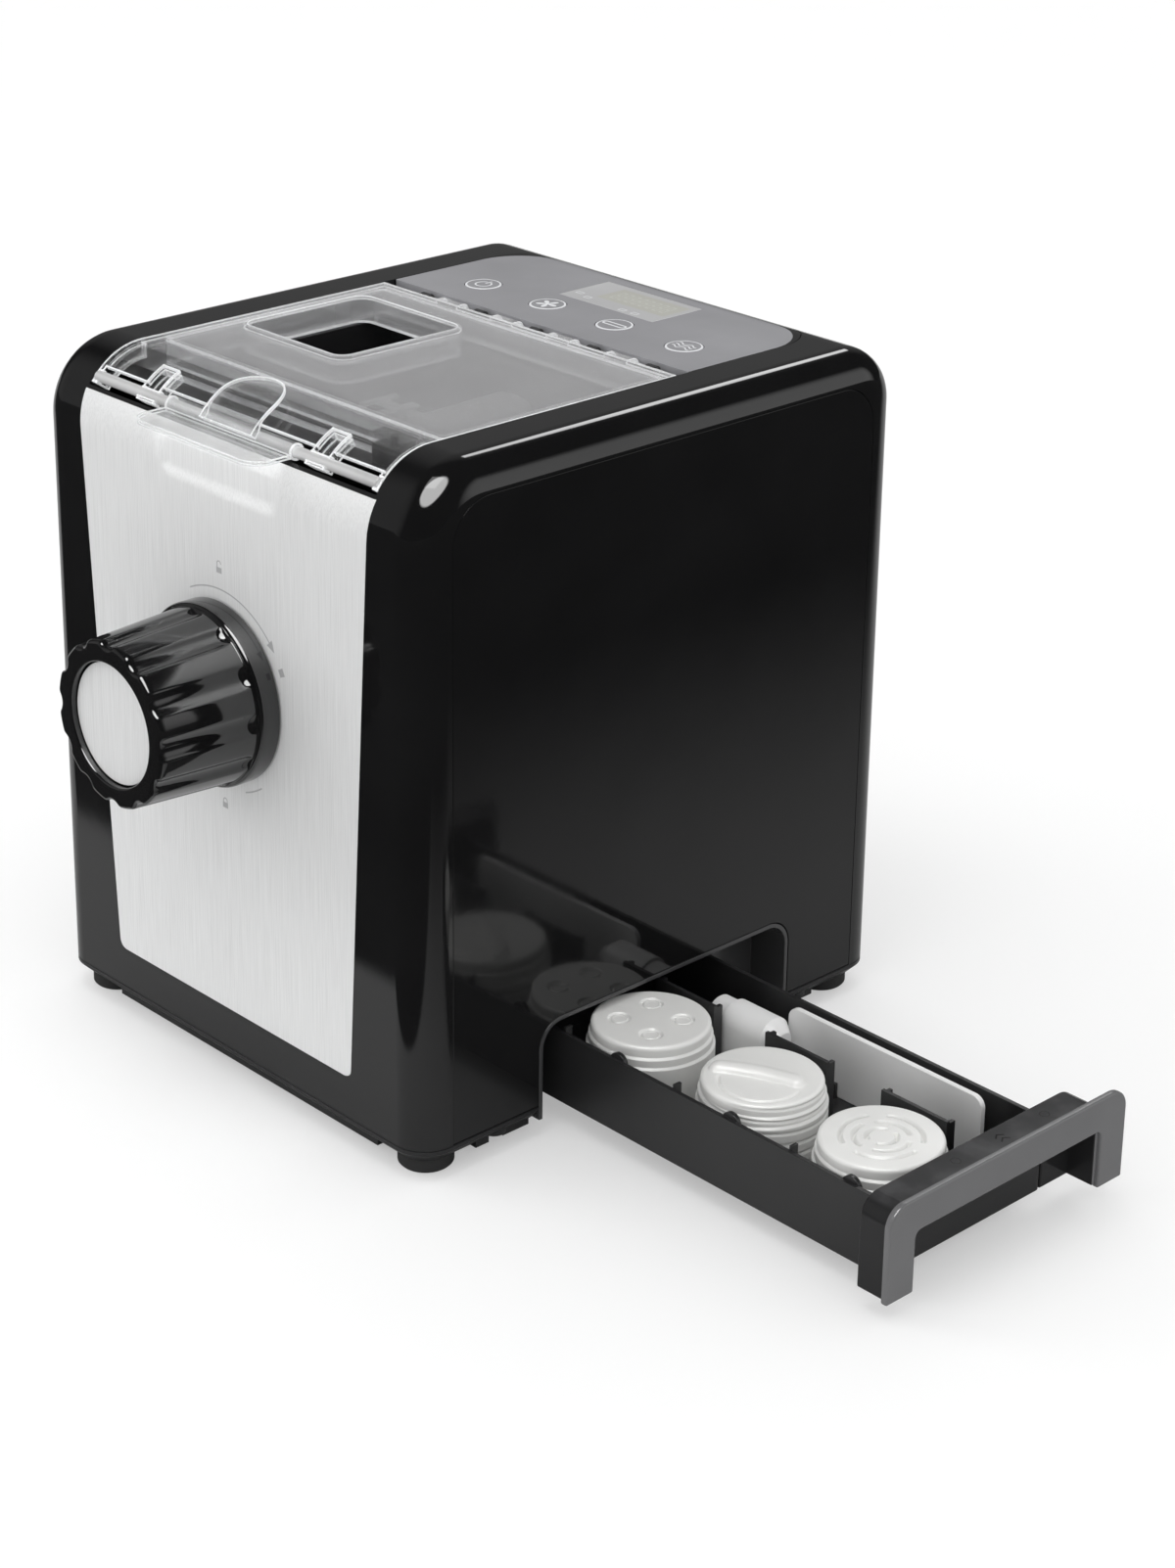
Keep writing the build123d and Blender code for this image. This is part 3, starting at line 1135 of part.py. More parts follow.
def tray():
    """The long tray with die pockets, tabs on its front wall and the lane dividers."""
    shape = block(TRAY_REAR, TRAY_FRONT, TRAY_LEFT, TRAY_RIGHT, TRAY_LOW, TRAY_TOP)
    shape = fillet(shape.edges().filter_by(Axis.Z), 3)
    room = block(TRAY_REAR + TRAY_WALL, TRAY_FRONT - TRAY_WALL, TRAY_LEFT + TRAY_WALL, TRAY_RIGHT - TRAY_WALL,
                 TRAY_LOW + TRAY_WALL, TRAY_TOP + 1)
    shape -= fillet(room.edges().filter_by(Axis.Z), 1.5)
    floor = TRAY_LOW + TRAY_WALL / 2
    inner_left = TRAY_LEFT + TRAY_WALL
    for x in die_places():
        wall = block(x - DIVIDER_BEFORE, x + DIVIDER_AFTER, DIVIDER_Y, DIVIDER_Y + DIVIDER_THICK, floor,
                     TRAY_TOP + DIVIDER_RISE)
        for end in (x - DIVIDER_BEFORE, x + DIVIDER_AFTER - DIVIDER_THICK):
            wall += block(end, end + DIVIDER_THICK, DIVIDER_Y, DIVIDER_Y + 5, floor,
                          TRAY_TOP + DIVIDER_RISE - 1)
        tab_x = x + WALL_TAB_SHIFT
        tab = along_y(Pos(tab_x, TRAY_TOP - 2) * Circle(4.5), inner_left - 0.5, inner_left + 1.4)
        stem = block(tab_x - 4.5, tab_x + 4.5, inner_left - 0.5, inner_left + 1.4, floor, TRAY_TOP - 2)
        fin_x = x - DIE_PITCH / 2 + WALL_TAB_SHIFT
        fin = block(fin_x, fin_x + 1.4, inner_left - 0.5, inner_left + 3, floor, TRAY_TOP + 2)
        shape += wall + tab + stem + fin
    for x in (scraper_end() - SCRAPER_LENGTH / 4, scraper_end() - 3 * SCRAPER_LENGTH / 4):
        for y in (scraper_back() + SEAM, scraper_back() - SCRAPER_THICK - SEAM - RIB_THICK):
            shape += block(x, x + 2 * RIB_THICK, y, y + RIB_THICK, floor, TRAY_LOW + TRAY_WALL + RIB_HEIGHT)
    return shape


def scraper_end():
    return TRAY_FRONT - TRAY_WALL - SCRAPER_SET_BACK


def scraper_back():
    return TRAY_RIGHT - TRAY_WALL - SCRAPER_OFF_WALL


def die_places():
    return [DIE_FIRST_X - DIE_PITCH * k for k in range(DIE_COUNT)]


def drawer_front():
    """The handle: an upside-down U flange with a hood and cheeks that join it to the tray."""
    left, right = DRAWER_Y - FLANGE_HALF, DRAWER_Y + FLANGE_HALF
    face = arch(left, right, FLANGE_Z, FLANGE_TOP, FLANGE_CORNER)
    face -= arch(left + FLANGE_LEG, right - FLANGE_LEG, FLANGE_Z - 1, FLANGE_TOP - FLANGE_BAR, 3)
    shape = along_x(face, FACE_X - FLANGE_THICK, FACE_X)
    back = FACE_X - HOOD_DEPTH
    hood_right = DRAWER_Y + HOOD_RIGHT
    hood_top = FLANGE_TOP - 0.8
    hood = arch(left + 1, hood_right, FLANGE_Z + 1, hood_top, FLANGE_CORNER)
    hood -= arch(left + 1 + HOOD_WALL, hood_right - HOOD_WALL, FLANGE_Z, hood_top - HOOD_WALL,
                 FLANGE_CORNER - HOOD_WALL)
    shape += along_x(hood, back, FACE_X - FLANGE_THICK / 2)
    cheek = block(FACE_X - 9, FACE_X - 1, right - FLANGE_LEG, right - FLANGE_LEG + HOOD_WALL, FLANGE_Z,
                  FLANGE_TOP - FLANGE_BAR + 4)
    lip = block(FACE_X - HOOD_DEPTH, FACE_X - 1, left + 1, left + 1 + HOOD_WALL, FLANGE_Z, FLANGE_Z + 6)
    shape += cheek + lip - block(back - 1, TRAY_FRONT + SEAT, TRAY_LEFT - SEAT, TRAY_RIGHT + SEAT,
                                 FLANGE_Z - 1, TRAY_TOP + SEAT)
    return shape + block(TRAY_FRONT + SEAT, TRAY_FRONT + SEAT + HOOD_WALL, left + 2, hood_right - 1,
                         FLANGE_TOP - FLANGE_BAR, hood_top - HOOD_WALL / 2)


def spare_die(k):
    """A spare die standing in the tray: a ring with a step and its own pattern on top."""
    x = die_places()[k]
    top = DIE_LOW + DIE_HEIGHT
    shape = disc_z(DIE_RADIUS, DIE_LOW, top - 9, x, DIE_Y) + disc_z(DIE_RADIUS - DIE_STEP, DIE_LOW, top, x, DIE_Y)
    shape = fillet(shape.edges().group_by(Axis.Z)[-1], 1.5)
    shape -= disc_z(DIE_RADIUS - 4, DIE_LOW - 1, top - 8, x, DIE_Y)
    if k == 0:
        for ring in (6, 11, 16):
            arcs = Pos(x, DIE_Y) * (Circle(ring + 0.8) - Circle(ring - 0.8))
            arcs -= Pos(x, DIE_Y) * Rot(0, 0, 12 * ring) * Rectangle(80, 5)
            shape -= along_z(arcs, top - 3, top + 1)
    if k == 1:
        shape += along_z(Pos(x, DIE_Y) * Rot(0, 0, 25) * RectangleRounded(34, 7, 3), top - 1, top + 3)
    if k == 2:
        for turn in range(4):
            angle = math.radians(45 + 90 * turn)
            hole = disc_z(3.6, top - 9, top + 1, x + 13 * math.cos(angle), DIE_Y + 13 * math.sin(angle))
            shape -= hole
    return shape


def scraper():
    """The flat cleaning scraper, on edge between the tray's small ribs."""
    x1, y1 = scraper_end(), scraper_back()
    low = TRAY_LOW + TRAY_WALL + SEAM
    outline = rectangle(x1 - SCRAPER_LENGTH, x1, low, TRAY_TOP + SCRAPER_LIFT, 5)
    return along_y(outline, y1 - SCRAPER_THICK, y1)


def cleaning_tool():
    """The cleaning tool: an oval grip on edge, with a collar at one end and a tapered nose at the other."""
    y = (DIVIDER_Y + 5 + scraper_back() - SCRAPER_THICK) / 2
    z = TRAY_LOW + TRAY_WALL + SEAM + TOOL_HALF_HEIGHT

    def oval(inset):
        wide, high = TOOL_HALF_WIDTH - inset, TOOL_HALF_HEIGHT - inset
        return rectangle(y - wide, y + wide, z - high, z + high, wide - 0.5)

    start = TOOL_END - TOOL_LENGTH
    shape = along_x(oval(0), start, TOOL_END) + along_x(oval(TOOL_STEP), start - TOOL_COLLAR, start)
    return shape + loft([Plane.YZ.offset(TOOL_END) * oval(0), Plane.YZ.offset(TOOL_END + TOOL_NOSE) * oval(TOOL_TAPER)])


# Write every sub-part
save("base_pan", base_pan())
save("rubber_feet", rubber_feet())
save("housing_shell", housing_shell())
save("side_panel_right", side_panel(1))
save("side_panel_left", side_panel(-1))
save("rear_cover", rear_cover())
save("case_screws", case_screws())
save("front_panel", front_panel())
save("top_deck", top_deck())
save("control_panel", control_panel())
save("display_window", display_window())
save("display_module", display_module())
save("control_board", control_board())
save("key_switches", key_switches())
for name, key_x in zip(KEY_NAMES, KEY_XS):
    save(name, key(key_x))
save("mixing_chamber", mixing_chamber())
save("shaft_seal", shaft_seal())
save("outlet_barrel", outlet_barrel())
save("shaping_die", shaping_die())
save("lid", lid())
save("hinge_bracket", hinge_bracket())
save("hinge_pin", hinge_pin())
save("latch_rod", latch_rod())
save("lid_latch", lid_latch())
save("lid_switch", lid_switch())
save("lock_knob", lock_knob())
save("outlet_cap", outlet_cap())
save("cap_face", cap_face())
save("output_gear", output_gear())
save("drive_shaft", drive_shaft())
save("kneading_auger", kneading_auger())
save("idler_gear", idler_gear())
save("idler_axle", idler_axle())
save("gearcase", gearcase())
save("back_plate", back_plate())
save("shaft_bushes", shaft_bushes())
save("motor_case", motor_case())
save("motor_end_cap", motor_end_cap())
save("motor_cradle", motor_cradle())
save("motor_shaft", motor_shaft())
save("motor_pinion", motor_pinion())
save("armature", armature())
save("cooling_fan", cooling_fan())
save("power_board", power_board())
save("cord_gland", cord_gland())
save("drawer_bay", drawer_bay())
save("drawer_surround", drawer_surround())
save("drawer_tray", tray())
save("drawer_front", drawer_front())
for k, name in enumerate(("ring_die", "bar_die", "hole_die")):
    save(name, spare_die(k))
save("scraper", scraper())
save("cleaning_tool", cleaning_tool())
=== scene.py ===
import json
import math

import bmesh
import bpy
import numpy as np
from mathutils import Matrix, Vector


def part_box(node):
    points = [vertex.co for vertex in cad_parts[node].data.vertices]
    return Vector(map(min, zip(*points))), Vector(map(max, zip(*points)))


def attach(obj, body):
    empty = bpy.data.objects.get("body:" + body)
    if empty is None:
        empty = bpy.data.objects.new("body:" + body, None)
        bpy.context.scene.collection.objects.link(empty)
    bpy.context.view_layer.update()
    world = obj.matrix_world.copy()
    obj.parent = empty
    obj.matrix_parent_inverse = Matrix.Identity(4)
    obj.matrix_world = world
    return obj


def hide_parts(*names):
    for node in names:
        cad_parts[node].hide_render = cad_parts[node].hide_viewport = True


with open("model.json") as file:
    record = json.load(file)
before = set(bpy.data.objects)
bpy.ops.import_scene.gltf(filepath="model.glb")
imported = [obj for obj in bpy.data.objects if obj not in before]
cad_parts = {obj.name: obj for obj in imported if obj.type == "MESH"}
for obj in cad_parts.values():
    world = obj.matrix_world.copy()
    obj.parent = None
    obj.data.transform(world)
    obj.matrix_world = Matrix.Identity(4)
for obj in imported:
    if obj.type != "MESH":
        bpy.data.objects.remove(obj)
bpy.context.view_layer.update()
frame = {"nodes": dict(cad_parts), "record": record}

# Pasta machine. Metres, in the frame of the CAD: +X is the drawer side, -Y the front, +Z up.
MM = 0.001

# The front face and the large curve at its top, in millimetres
FRONT_Y, CURVE_RADIUS = -132.7, 32.0
CURVE_Y, CURVE_Z = FRONT_Y + CURVE_RADIUS, 265.0


# Node trees
def operator(operation, swap=False):
    """A method that works on a number, alone or with another one, by a Math node."""
    def method(self, *others):
        values = (*others, self) if swap else (self, *others)
        return self.shader.math(operation, *values)
    return method


class Number:
    """A number in a material's node tree, with the usual signs for arithmetic."""
    __add__, __radd__ = operator("ADD"), operator("ADD", True)
    __sub__, __rsub__ = operator("SUBTRACT"), operator("SUBTRACT", True)
    __mul__, __rmul__ = operator("MULTIPLY"), operator("MULTIPLY", True)
    __truediv__, __pow__ = operator("DIVIDE"), operator("POWER")
    __abs__, sin, cos = operator("ABSOLUTE"), operator("SINE"), operator("COSINE")
    low, high = operator("MINIMUM"), operator("MAXIMUM")

    def __init__(self, shader, socket):
        self.shader = shader
        self.socket = socket

    def near(self, reach, soft=0.12):
        """1 where the number is below reach, 0 above it."""
        return self.step(reach + soft, reach - soft)

    def step(self, start, end):
        """0 before start, 1 after end and smooth between them; start may be the larger one."""
        return self.shader.node("ShaderNodeMapRange", {"interpolation_type": "SMOOTHSTEP"},
                                {"Value": self, "From Min": start, "From Max": end})["Result"]


class Shader:
    """One material: a Principled BSDF and the node tree that feeds it."""

    def __init__(self, name, **constants):
        self.material = bpy.data.materials.new(name)
        self.material.use_nodes = True
        self.tree = self.material.node_tree
        self.surface = self.tree.nodes["Principled BSDF"]
        self.place = self.node("ShaderNodeTexCoord")["Object"]
        self.set(**constants)

    def put(self, socket, value):
        if isinstance(value, Number):
            self.tree.links.new(value.socket, socket)
        elif isinstance(value, tuple) and len(value) == 3 and socket.type == "RGBA":
            socket.default_value = (*value, 1.0)
        else:
            socket.default_value = value

    def node(self, kind, settings=None, inputs=None):
        """Adds a node and returns its outputs by name, or by number where names repeat."""
        made = self.tree.nodes.new(kind)
        for key, value in (settings or {}).items():
            setattr(made, key, value)
        for key, value in (inputs or {}).items():
            self.put(made.inputs[key], value)
        found = {k: Number(self, out) for k, out in enumerate(made.outputs)}
        found.update({out.name: Number(self, out) for out in made.outputs if out.enabled})
        return found

    def math(self, operation, *values):
        inputs = dict(enumerate(values))
        return self.node("ShaderNodeMath", {"operation": operation}, inputs)[0]

    def mix(self, first, second, amount):
        """A colour between two others."""
        inputs = {0: amount, 6: first, 7: second}
        return self.node("ShaderNodeMix", {"data_type": "RGBA"}, inputs)[2]

    def stretched(self, stretch):
        """The place on the piece, with each axis scaled."""
        inputs = {0: self.place, 1: stretch}
        return self.node("ShaderNodeVectorMath", {"operation": "MULTIPLY"}, inputs)[0]

    def noise(self, scale, detail=2.0, stretch=(1.0, 1.0, 1.0)):
        inputs = {"Vector": self.stretched(stretch), "Scale": scale, "Detail": detail}
        return self.node("ShaderNodeTexNoise", None, inputs)[0]

    def cells(self, scale):
        """The distance to the nearest of many scattered points."""
        inputs = {"Vector": self.place, "Scale": scale}
        return self.node("ShaderNodeTexVoronoi", None, inputs)["Distance"]

    def axes(self):
        """The place on the piece as three numbers in millimetres."""
        parts = self.node("ShaderNodeSeparateXYZ", None, {0: self.place})
        return [parts[axis] * 1000.0 for axis in "XYZ"]

    def length(self, x, y):
        return (x * x + y * y) ** 0.5

    def ring(self, x, y, radius):
        """The distance from a circle round 0, 0."""
        return abs(self.length(x, y) - radius)

    def segment(self, x, y, start, end):
        """The distance from a straight stroke between two points."""
        dx, dy = end[0] - start[0], end[1] - start[1]
        along = ((x - start[0]) * dx + (y - start[1]) * dy) / (dx * dx + dy * dy)
        along = along.high(0.0).low(1.0)
        return self.length(x - start[0] - along * dx, y - start[1] - along * dy)

    def box(self, x, y, half_x, half_y):
        """Negative inside a rectangle round 0, 0."""
        return (abs(x) - half_x).high(abs(y) - half_y)

    def turn(self, x, y):
        """The angle of a point round 0, 0, in radians."""
        return self.math("ARCTAN2", y, x)

    def printed(self, mask, ink):
        """Lays flat ink over the finish."""
        under = self.surface.inputs["Base Color"].links[0].from_socket
        self.set(Base_Color=self.mix(Number(self, under), ink, mask))
        return self

    def set(self, **values):
        for key, value in values.items():
            self.put(self.surface.inputs[key.replace("_", " ")], value)
        return self

    def bump(self, height, depth, strength=1.0):
        """Turns a height from 0 to 1 into relief of that depth in metres."""
        inputs = {"Height": height, "Distance": depth, "Strength": strength}
        self.put(self.surface.inputs["Normal"], self.node("ShaderNodeBump", None, inputs)["Normal"])
        return self


# Materials
def plastic(name, colour, roughness, grain=0.0, grain_scale=1500.0, smudge=0.05, dust=0.04, shine=0.5,
            wear=0.06):
    """Moulded plastic: moulding flow, fine scratches, smudges, a little dust and, if asked, a grain."""
    shader = Shader(name, IOR=1.5, Specular_IOR_Level=shine)
    smudges = shader.noise(14.0, 4.0).step(0.42, 0.68)
    scratches = (shader.noise(900.0, 1.0, (1.0, 0.06, 0.3)) * shader.noise(60.0)).step(0.36, 0.5)
    specks = shader.cells(700.0).step(0.07, 0.03) * shader.noise(35.0, 3.0).step(0.5, 0.7)
    paler = tuple(min(1.0, c * 1.35 + 0.004) for c in colour)
    dusty = tuple(0.55 * c + 0.4 for c in colour)
    tone = shader.mix(colour, paler, shader.noise(22.0, 3.0))
    shader.set(Base_Color=shader.mix(tone, dusty, specks * dust),
               Roughness=roughness + smudges * smudge + scratches * wear + specks * dust * 5.0)
    if grain:
        relief = shader.cells(grain_scale) * 0.6 + shader.noise(grain_scale * 0.6, 3.0) * 0.4
        shader.bump(relief, grain)
    else:
        shader.bump(shader.noise(160.0, 2.0) + scratches * 0.05, 0.02 * MM, 0.5)
    return shader


def brushed(name, colour, roughness, stretch, metallic=1.0):
    """Steel with long brush lines along one axis, stains and finger marks."""
    shader = Shader(name, Metallic=metallic)
    lines = shader.noise(1.0, 5.0, stretch)
    fine = shader.noise(3.3, 3.0, stretch)
    marks = shader.noise(17.0, 4.0).step(0.45, 0.75)
    dark = tuple(c * 0.86 for c in colour)
    shader.set(Base_Color=shader.mix(dark, colour, (lines * 0.6 + fine * 0.4).step(0.3, 0.62)),
               Roughness=roughness + fine * 0.16 - marks * 0.05)
    shader.bump(lines * 0.5 + fine * 0.5, 0.035 * MM, 0.6)
    return shader


METAL_WEAR = 0.1


def metal(name, colour, roughness):
    """Plain metal with fine turning marks and dull patches."""
    shader = Shader(name, Metallic=1.0)
    patches = shader.noise(60.0, 5.0)
    fine = shader.noise(2200.0, 2.0, (1.0, 0.1, 1.0))
    worn = tuple(c * 0.6 for c in colour)
    shader.set(Base_Color=shader.mix(colour, worn, patches.step(0.45, 0.75) * METAL_WEAR * 3.0),
               Roughness=roughness + patches * METAL_WEAR + fine * 0.08)
    shader.bump(fine, 0.01 * MM, 0.5)
    return shader


CLEAR_COVER = 0.4


def clear_plastic(name):
    """Clear moulded plastic with faint smears, hairline scratches and a few dust specks."""
    shader = Shader(name, IOR=1.49, Transmission_Weight=0.97, Coat_Weight=0.6, Coat_IOR=1.8,
                    Alpha=CLEAR_COVER)
    smears = shader.noise(30.0, 4.0, (1.0, 0.4, 1.0)).step(0.5, 0.75)
    hairs = (shader.noise(700.0, 1.0, (0.08, 1.0, 0.3)) * shader.noise(45.0)).step(0.36, 0.5)
    specks = shader.cells(600.0).step(0.05, 0.02) * shader.noise(40.0, 3.0).step(0.52, 0.7)
    shader.set(Base_Color=shader.mix((0.97, 0.975, 0.98), (0.86, 0.87, 0.88), specks * 0.3),
               Roughness=0.015 + smears * 0.05 + hairs * 0.08 + specks * 0.3)
    shader.bump(shader.noise(40.0, 2.0) + hairs * 0.03, 0.06 * MM, 0.35)
    return shader


# Where the lid's painted reflection begins and is full, and how much of the clear plastic it covers
VEIL_START, VEIL_END, VEIL_COVER = -104.0, -84.0, 0.3


def reflection_veiled_lid(name):
    """Clear plastic with a grey veil on its flat top, a painted reflection of a broad soft light. The veil
    ends where the lid turns down.
    """
    shader = clear_plastic(name)
    # Painted reflection: a grey diffuse layer mixed over the flat top in place of mirrored light
    grey = shader.mix((0.68, 0.68, 0.69), (0.56, 0.56, 0.57), shader.noise(25.0, 4.0))
    painted_reflection = shader.node("ShaderNodeBsdfPrincipled", None, {"Base Color": grey, "Roughness": 0.3})
    flat_top = shader.axes()[1].step(VEIL_START, VEIL_END)
    cover = flat_top * (shader.noise(9.0, 3.0) * 0.2 + 0.9) * VEIL_COVER
    clear = Number(shader, shader.surface.outputs[0])
    both = shader.node("ShaderNodeMixShader", None, {0: cover, 1: clear, 2: painted_reflection["BSDF"]})["Shader"]
    shader.put(shader.tree.nodes["Material Output"].inputs["Surface"], both)
    return shader


# Emission of the clear rims and edge lines: a painted highlight, since they are no lamps
EDGE_GLOW = 0.2


def glowing_clear_edge(name, cover=1.0):
    """The rim of a clear moulding: pale, with nicks, and glowing a little by emission as a painted highlight
    where a polished rim would gather light.
    """
    shader = Shader(name, IOR=1.49, Transmission_Weight=0.35, Specular_IOR_Level=0.8,
                    Emission_Color=(1.0, 1.0, 1.0), Emission_Strength=EDGE_GLOW, Alpha=cover)
    nicks = shader.noise(500.0, 3.0).step(0.5, 0.7)
    tone = shader.mix((0.93, 0.94, 0.95), (0.7, 0.71, 0.72), nicks)
    shader.set(Base_Color=tone, Roughness=0.12 + nicks * 0.2)
    return shader


# Prints
def middle(node):
    """The middle of a CAD node, in millimetres."""
    low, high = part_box(node)
    return (low + high) * 500.0


BLACK = (0.0035, 0.0035, 0.0037)
PANEL_GREY = (0.25, 0.25, 0.262)
LINE = 0.3
INK_WHITE = (0.8, 0.81, 0.83)
INK_GREY = (0.4, 0.4, 0.41)
MARK_RADIUS = 43.0
LOCK_RISE, LOCK_HALF, LOCK_LINE, BOW_RADIUS = 51.0, (1.7, 1.2), 0.25, 1.2


def padlock(shader, x, z, opened):
    """A small padlock round 0, 0, with its bow swung up when opened."""
    body = shader.box(x, z, *LOCK_HALF)
    top, lift = LOCK_HALF[1], (1.5 if opened else 0.7)
    bow = shader.ring(x, z - top - lift, BOW_RADIUS) - LOCK_LINE
    legs = abs(abs(x) - BOW_RADIUS).high(abs(z - top - lift / 2) - lift / 2) - LOCK_LINE
    above = bow.high((top + lift) - z)
    right_leg_off = legs.high(x) if opened else legs
    return body.low(above).low(right_leg_off).near(0.0)


def front_prints(shader):
    """The marks round the knob: a turning arrow, a short arc, an open and a closed padlock."""
    x, _, z = shader.axes()
    z = z - middle("cap_face").z
    angle = shader.turn(x, z) * (180.0 / math.pi)
    arc = shader.ring(x, z, MARK_RADIUS).near(LINE)
    long_arc = arc * angle.step(41.0, 42.0) * angle.step(118.0, 116.0)
    short_arc = arc * angle.step(-72.0, -71.0) * angle.step(-55.0, -56.0)
    reach = shader.length(x, z) - MARK_RADIUS
    head = (abs(reach) * 2.2 - (angle - 37.0) * 0.75).near(0.0) * angle.step(43.5, 43.0)
    flag = shader.box(reach, angle - 26.0, 1.5, 2.2).near(0.0)
    opened = padlock(shader, x, z - LOCK_RISE, True)
    closed = padlock(shader, x, z + LOCK_RISE, False)
    ink = long_arc.high(short_arc).high(head).high(flag).high(opened).high(closed)
    return shader.printed(ink * 0.8, INK_GREY)


def power_sign(shader, x, y):
    """A ring open at its top, with an upright stroke in the gap."""
    gap = (abs(x) - 0.9).high(0.0 - y)
    ring = (shader.ring(x, y, 2.9) - LINE).high(0.0 - gap)
    return ring.low(shader.segment(x, y, (0, 1.2), (0, 4.0)) - LINE)


def fan_sign(shader, x, y):
    """Five petals round a hub: their edge is at 4.6 |cos 2.5 a| - 0.35 at the angle a."""
    petals = shader.length(x, y) - abs((shader.turn(x, y) * 2.5).cos()) * 4.6
    return (petals + 0.35).low(shader.ring(x, y, 0.2) - 0.5)


def bar_sign(shader, x, y):
    """The outline of a long bar with round ends."""
    return abs(shader.segment(x, y, (-3.9, 0), (3.9, 0)) - 1.2) - LINE * 1.2


def wave_sign(shader, x, y):
    """Three waved lines."""
    wave = (x * 1.25).sin() * 0.7
    rows = abs(abs(y - wave) - 1.9).low(abs(y - wave)) - LINE
    return rows.high(abs(x) - 4.4)


RING_RADIUS, RING_LINE, SIGN_SCALE = 7.6, 0.5, 1.22
SIGNS = {"power_key": power_sign, "program_key": fan_sign, "mix_key": bar_sign, "extrude_key": wave_sign}


def key_face(node):
    """The grey key with a white ring and its sign."""
    shader = plastic(node, PANEL_GREY, 0.09, shine=0.4)
    x, y, z = shader.axes()
    centre = middle(node)
    x, y = x - centre.x, y - centre.y
    sign = SIGNS[node](shader, x / SIGN_SCALE, y / SIGN_SCALE).near(0.0)
    ring = (shader.ring(x, y, RING_RADIUS) - RING_LINE).near(0.0)
    return shader.printed(sign.high(ring) * z.step(centre.z, centre.z + 1.0), INK_WHITE)


PANEL_CORNER, PANEL_MARGIN = 26.0, 4.5


def panel_face():
    """The control panel's plate, with a black margin along its rear."""
    shader = plastic("panel_face", PANEL_GREY, 0.09, shine=0.4)
    x, y, _ = shader.axes()
    _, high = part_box("control_panel")
    past_x = abs(x) - (high.x * 1000 - PANEL_CORNER)
    past_y = y - (high.y * 1000 - PANEL_CORNER - PANEL_MARGIN)
    edge = shader.length(past_x.high(0.0), past_y.high(0.0)) + past_x.high(past_y).low(0.0) - PANEL_CORNER
    return shader.printed(edge.step(-0.4, 0.0), BLACK)


# The deck's grey is a painted reflection: it stands in for the light the clear lid mirrors over it
DECK_REFLECTION_GREY = (0.5, 0.5, 0.51)
DECK_CURVE_END = 4.0


def deck_face():
    """The deck under the lid: a grey flat top, a painted reflection standing in for the broad grey the lid
    above it mirrors, and black where it turns down at the front.
    """
    shader = plastic("deck_face", DECK_REFLECTION_GREY, 0.16, 0.006 * MM, shine=0.4)
    y = shader.axes()[1]
    curve_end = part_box("housing_shell")[0].y * 1000 + CURVE_RADIUS + DECK_CURVE_END
    return shader.printed(y.step(curve_end + 0.4, curve_end - 0.4), BLACK)


HOOD_SHEEN_GREY, HOOD_INK = (0.06, 0.06, 0.062), (0.002, 0.002, 0.002)
HOOD_MARK_X, HOOD_MARK_Y = 7.0, 6.0
PIP_REACH, PIP_RADIUS = 26.0, 2.0


def hood_face():
    """The drawer hood: lighter mottling on its top as a painted reflection, a printed slide mark of two
    chevrons, and faint moulding marks beside it."""
    shader = plastic("hood_black", (0.014, 0.014, 0.0145), 0.14, smudge=0.14, shine=0.36)
    x, y, z = shader.axes()
    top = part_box("drawer_front")[1].z * 1000
    # Painted reflection: a lighter mottled grey on the hood's top face only
    painted_sheen = shader.noise(55.0, 3.0).step(0.38, 0.66) * 0.6 + 0.4
    shader.printed(painted_sheen * z.step(top - 3.0, top - 1.5), HOOD_SHEEN_GREY)
    x = x - (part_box("drawer_front")[0].x * 1000 + HOOD_MARK_X)
    y = y - HOOD_MARK_Y
    bent = x - abs(y) * 0.7
    chevrons = (abs(abs(bent + 0.6) - 1.5) - 0.4).high(abs(y) - 2.4)
    pips = shader.ring(x, abs(y) - PIP_REACH, PIP_RADIUS) - 0.2
    return shader.printed(chevrons.near(0.0).high(pips.near(0.0) * 0.4), HOOD_INK)


FIELD_PLACE, FIELD_HALF = (5.5, 2.5), (20.5, 8.5)
DIGIT_PITCH, DIGIT_HALF_WIDTH, DIGIT_HALF_HEIGHT = 8.6, 2.3, 4.4
DIGIT_LINE, DIGIT_SIDE_HALF, DIGITS_HALF = 0.45, 1.7, 17.5
FLAGS = ((-24.0, -7.0), (-16.5, -9.5), (7.5, -11.8), (15.0, -11.8))
FLAG_HALF, FLAG_LINE, FLAG_DOT = (1.7, 1.1), 0.18, 0.3


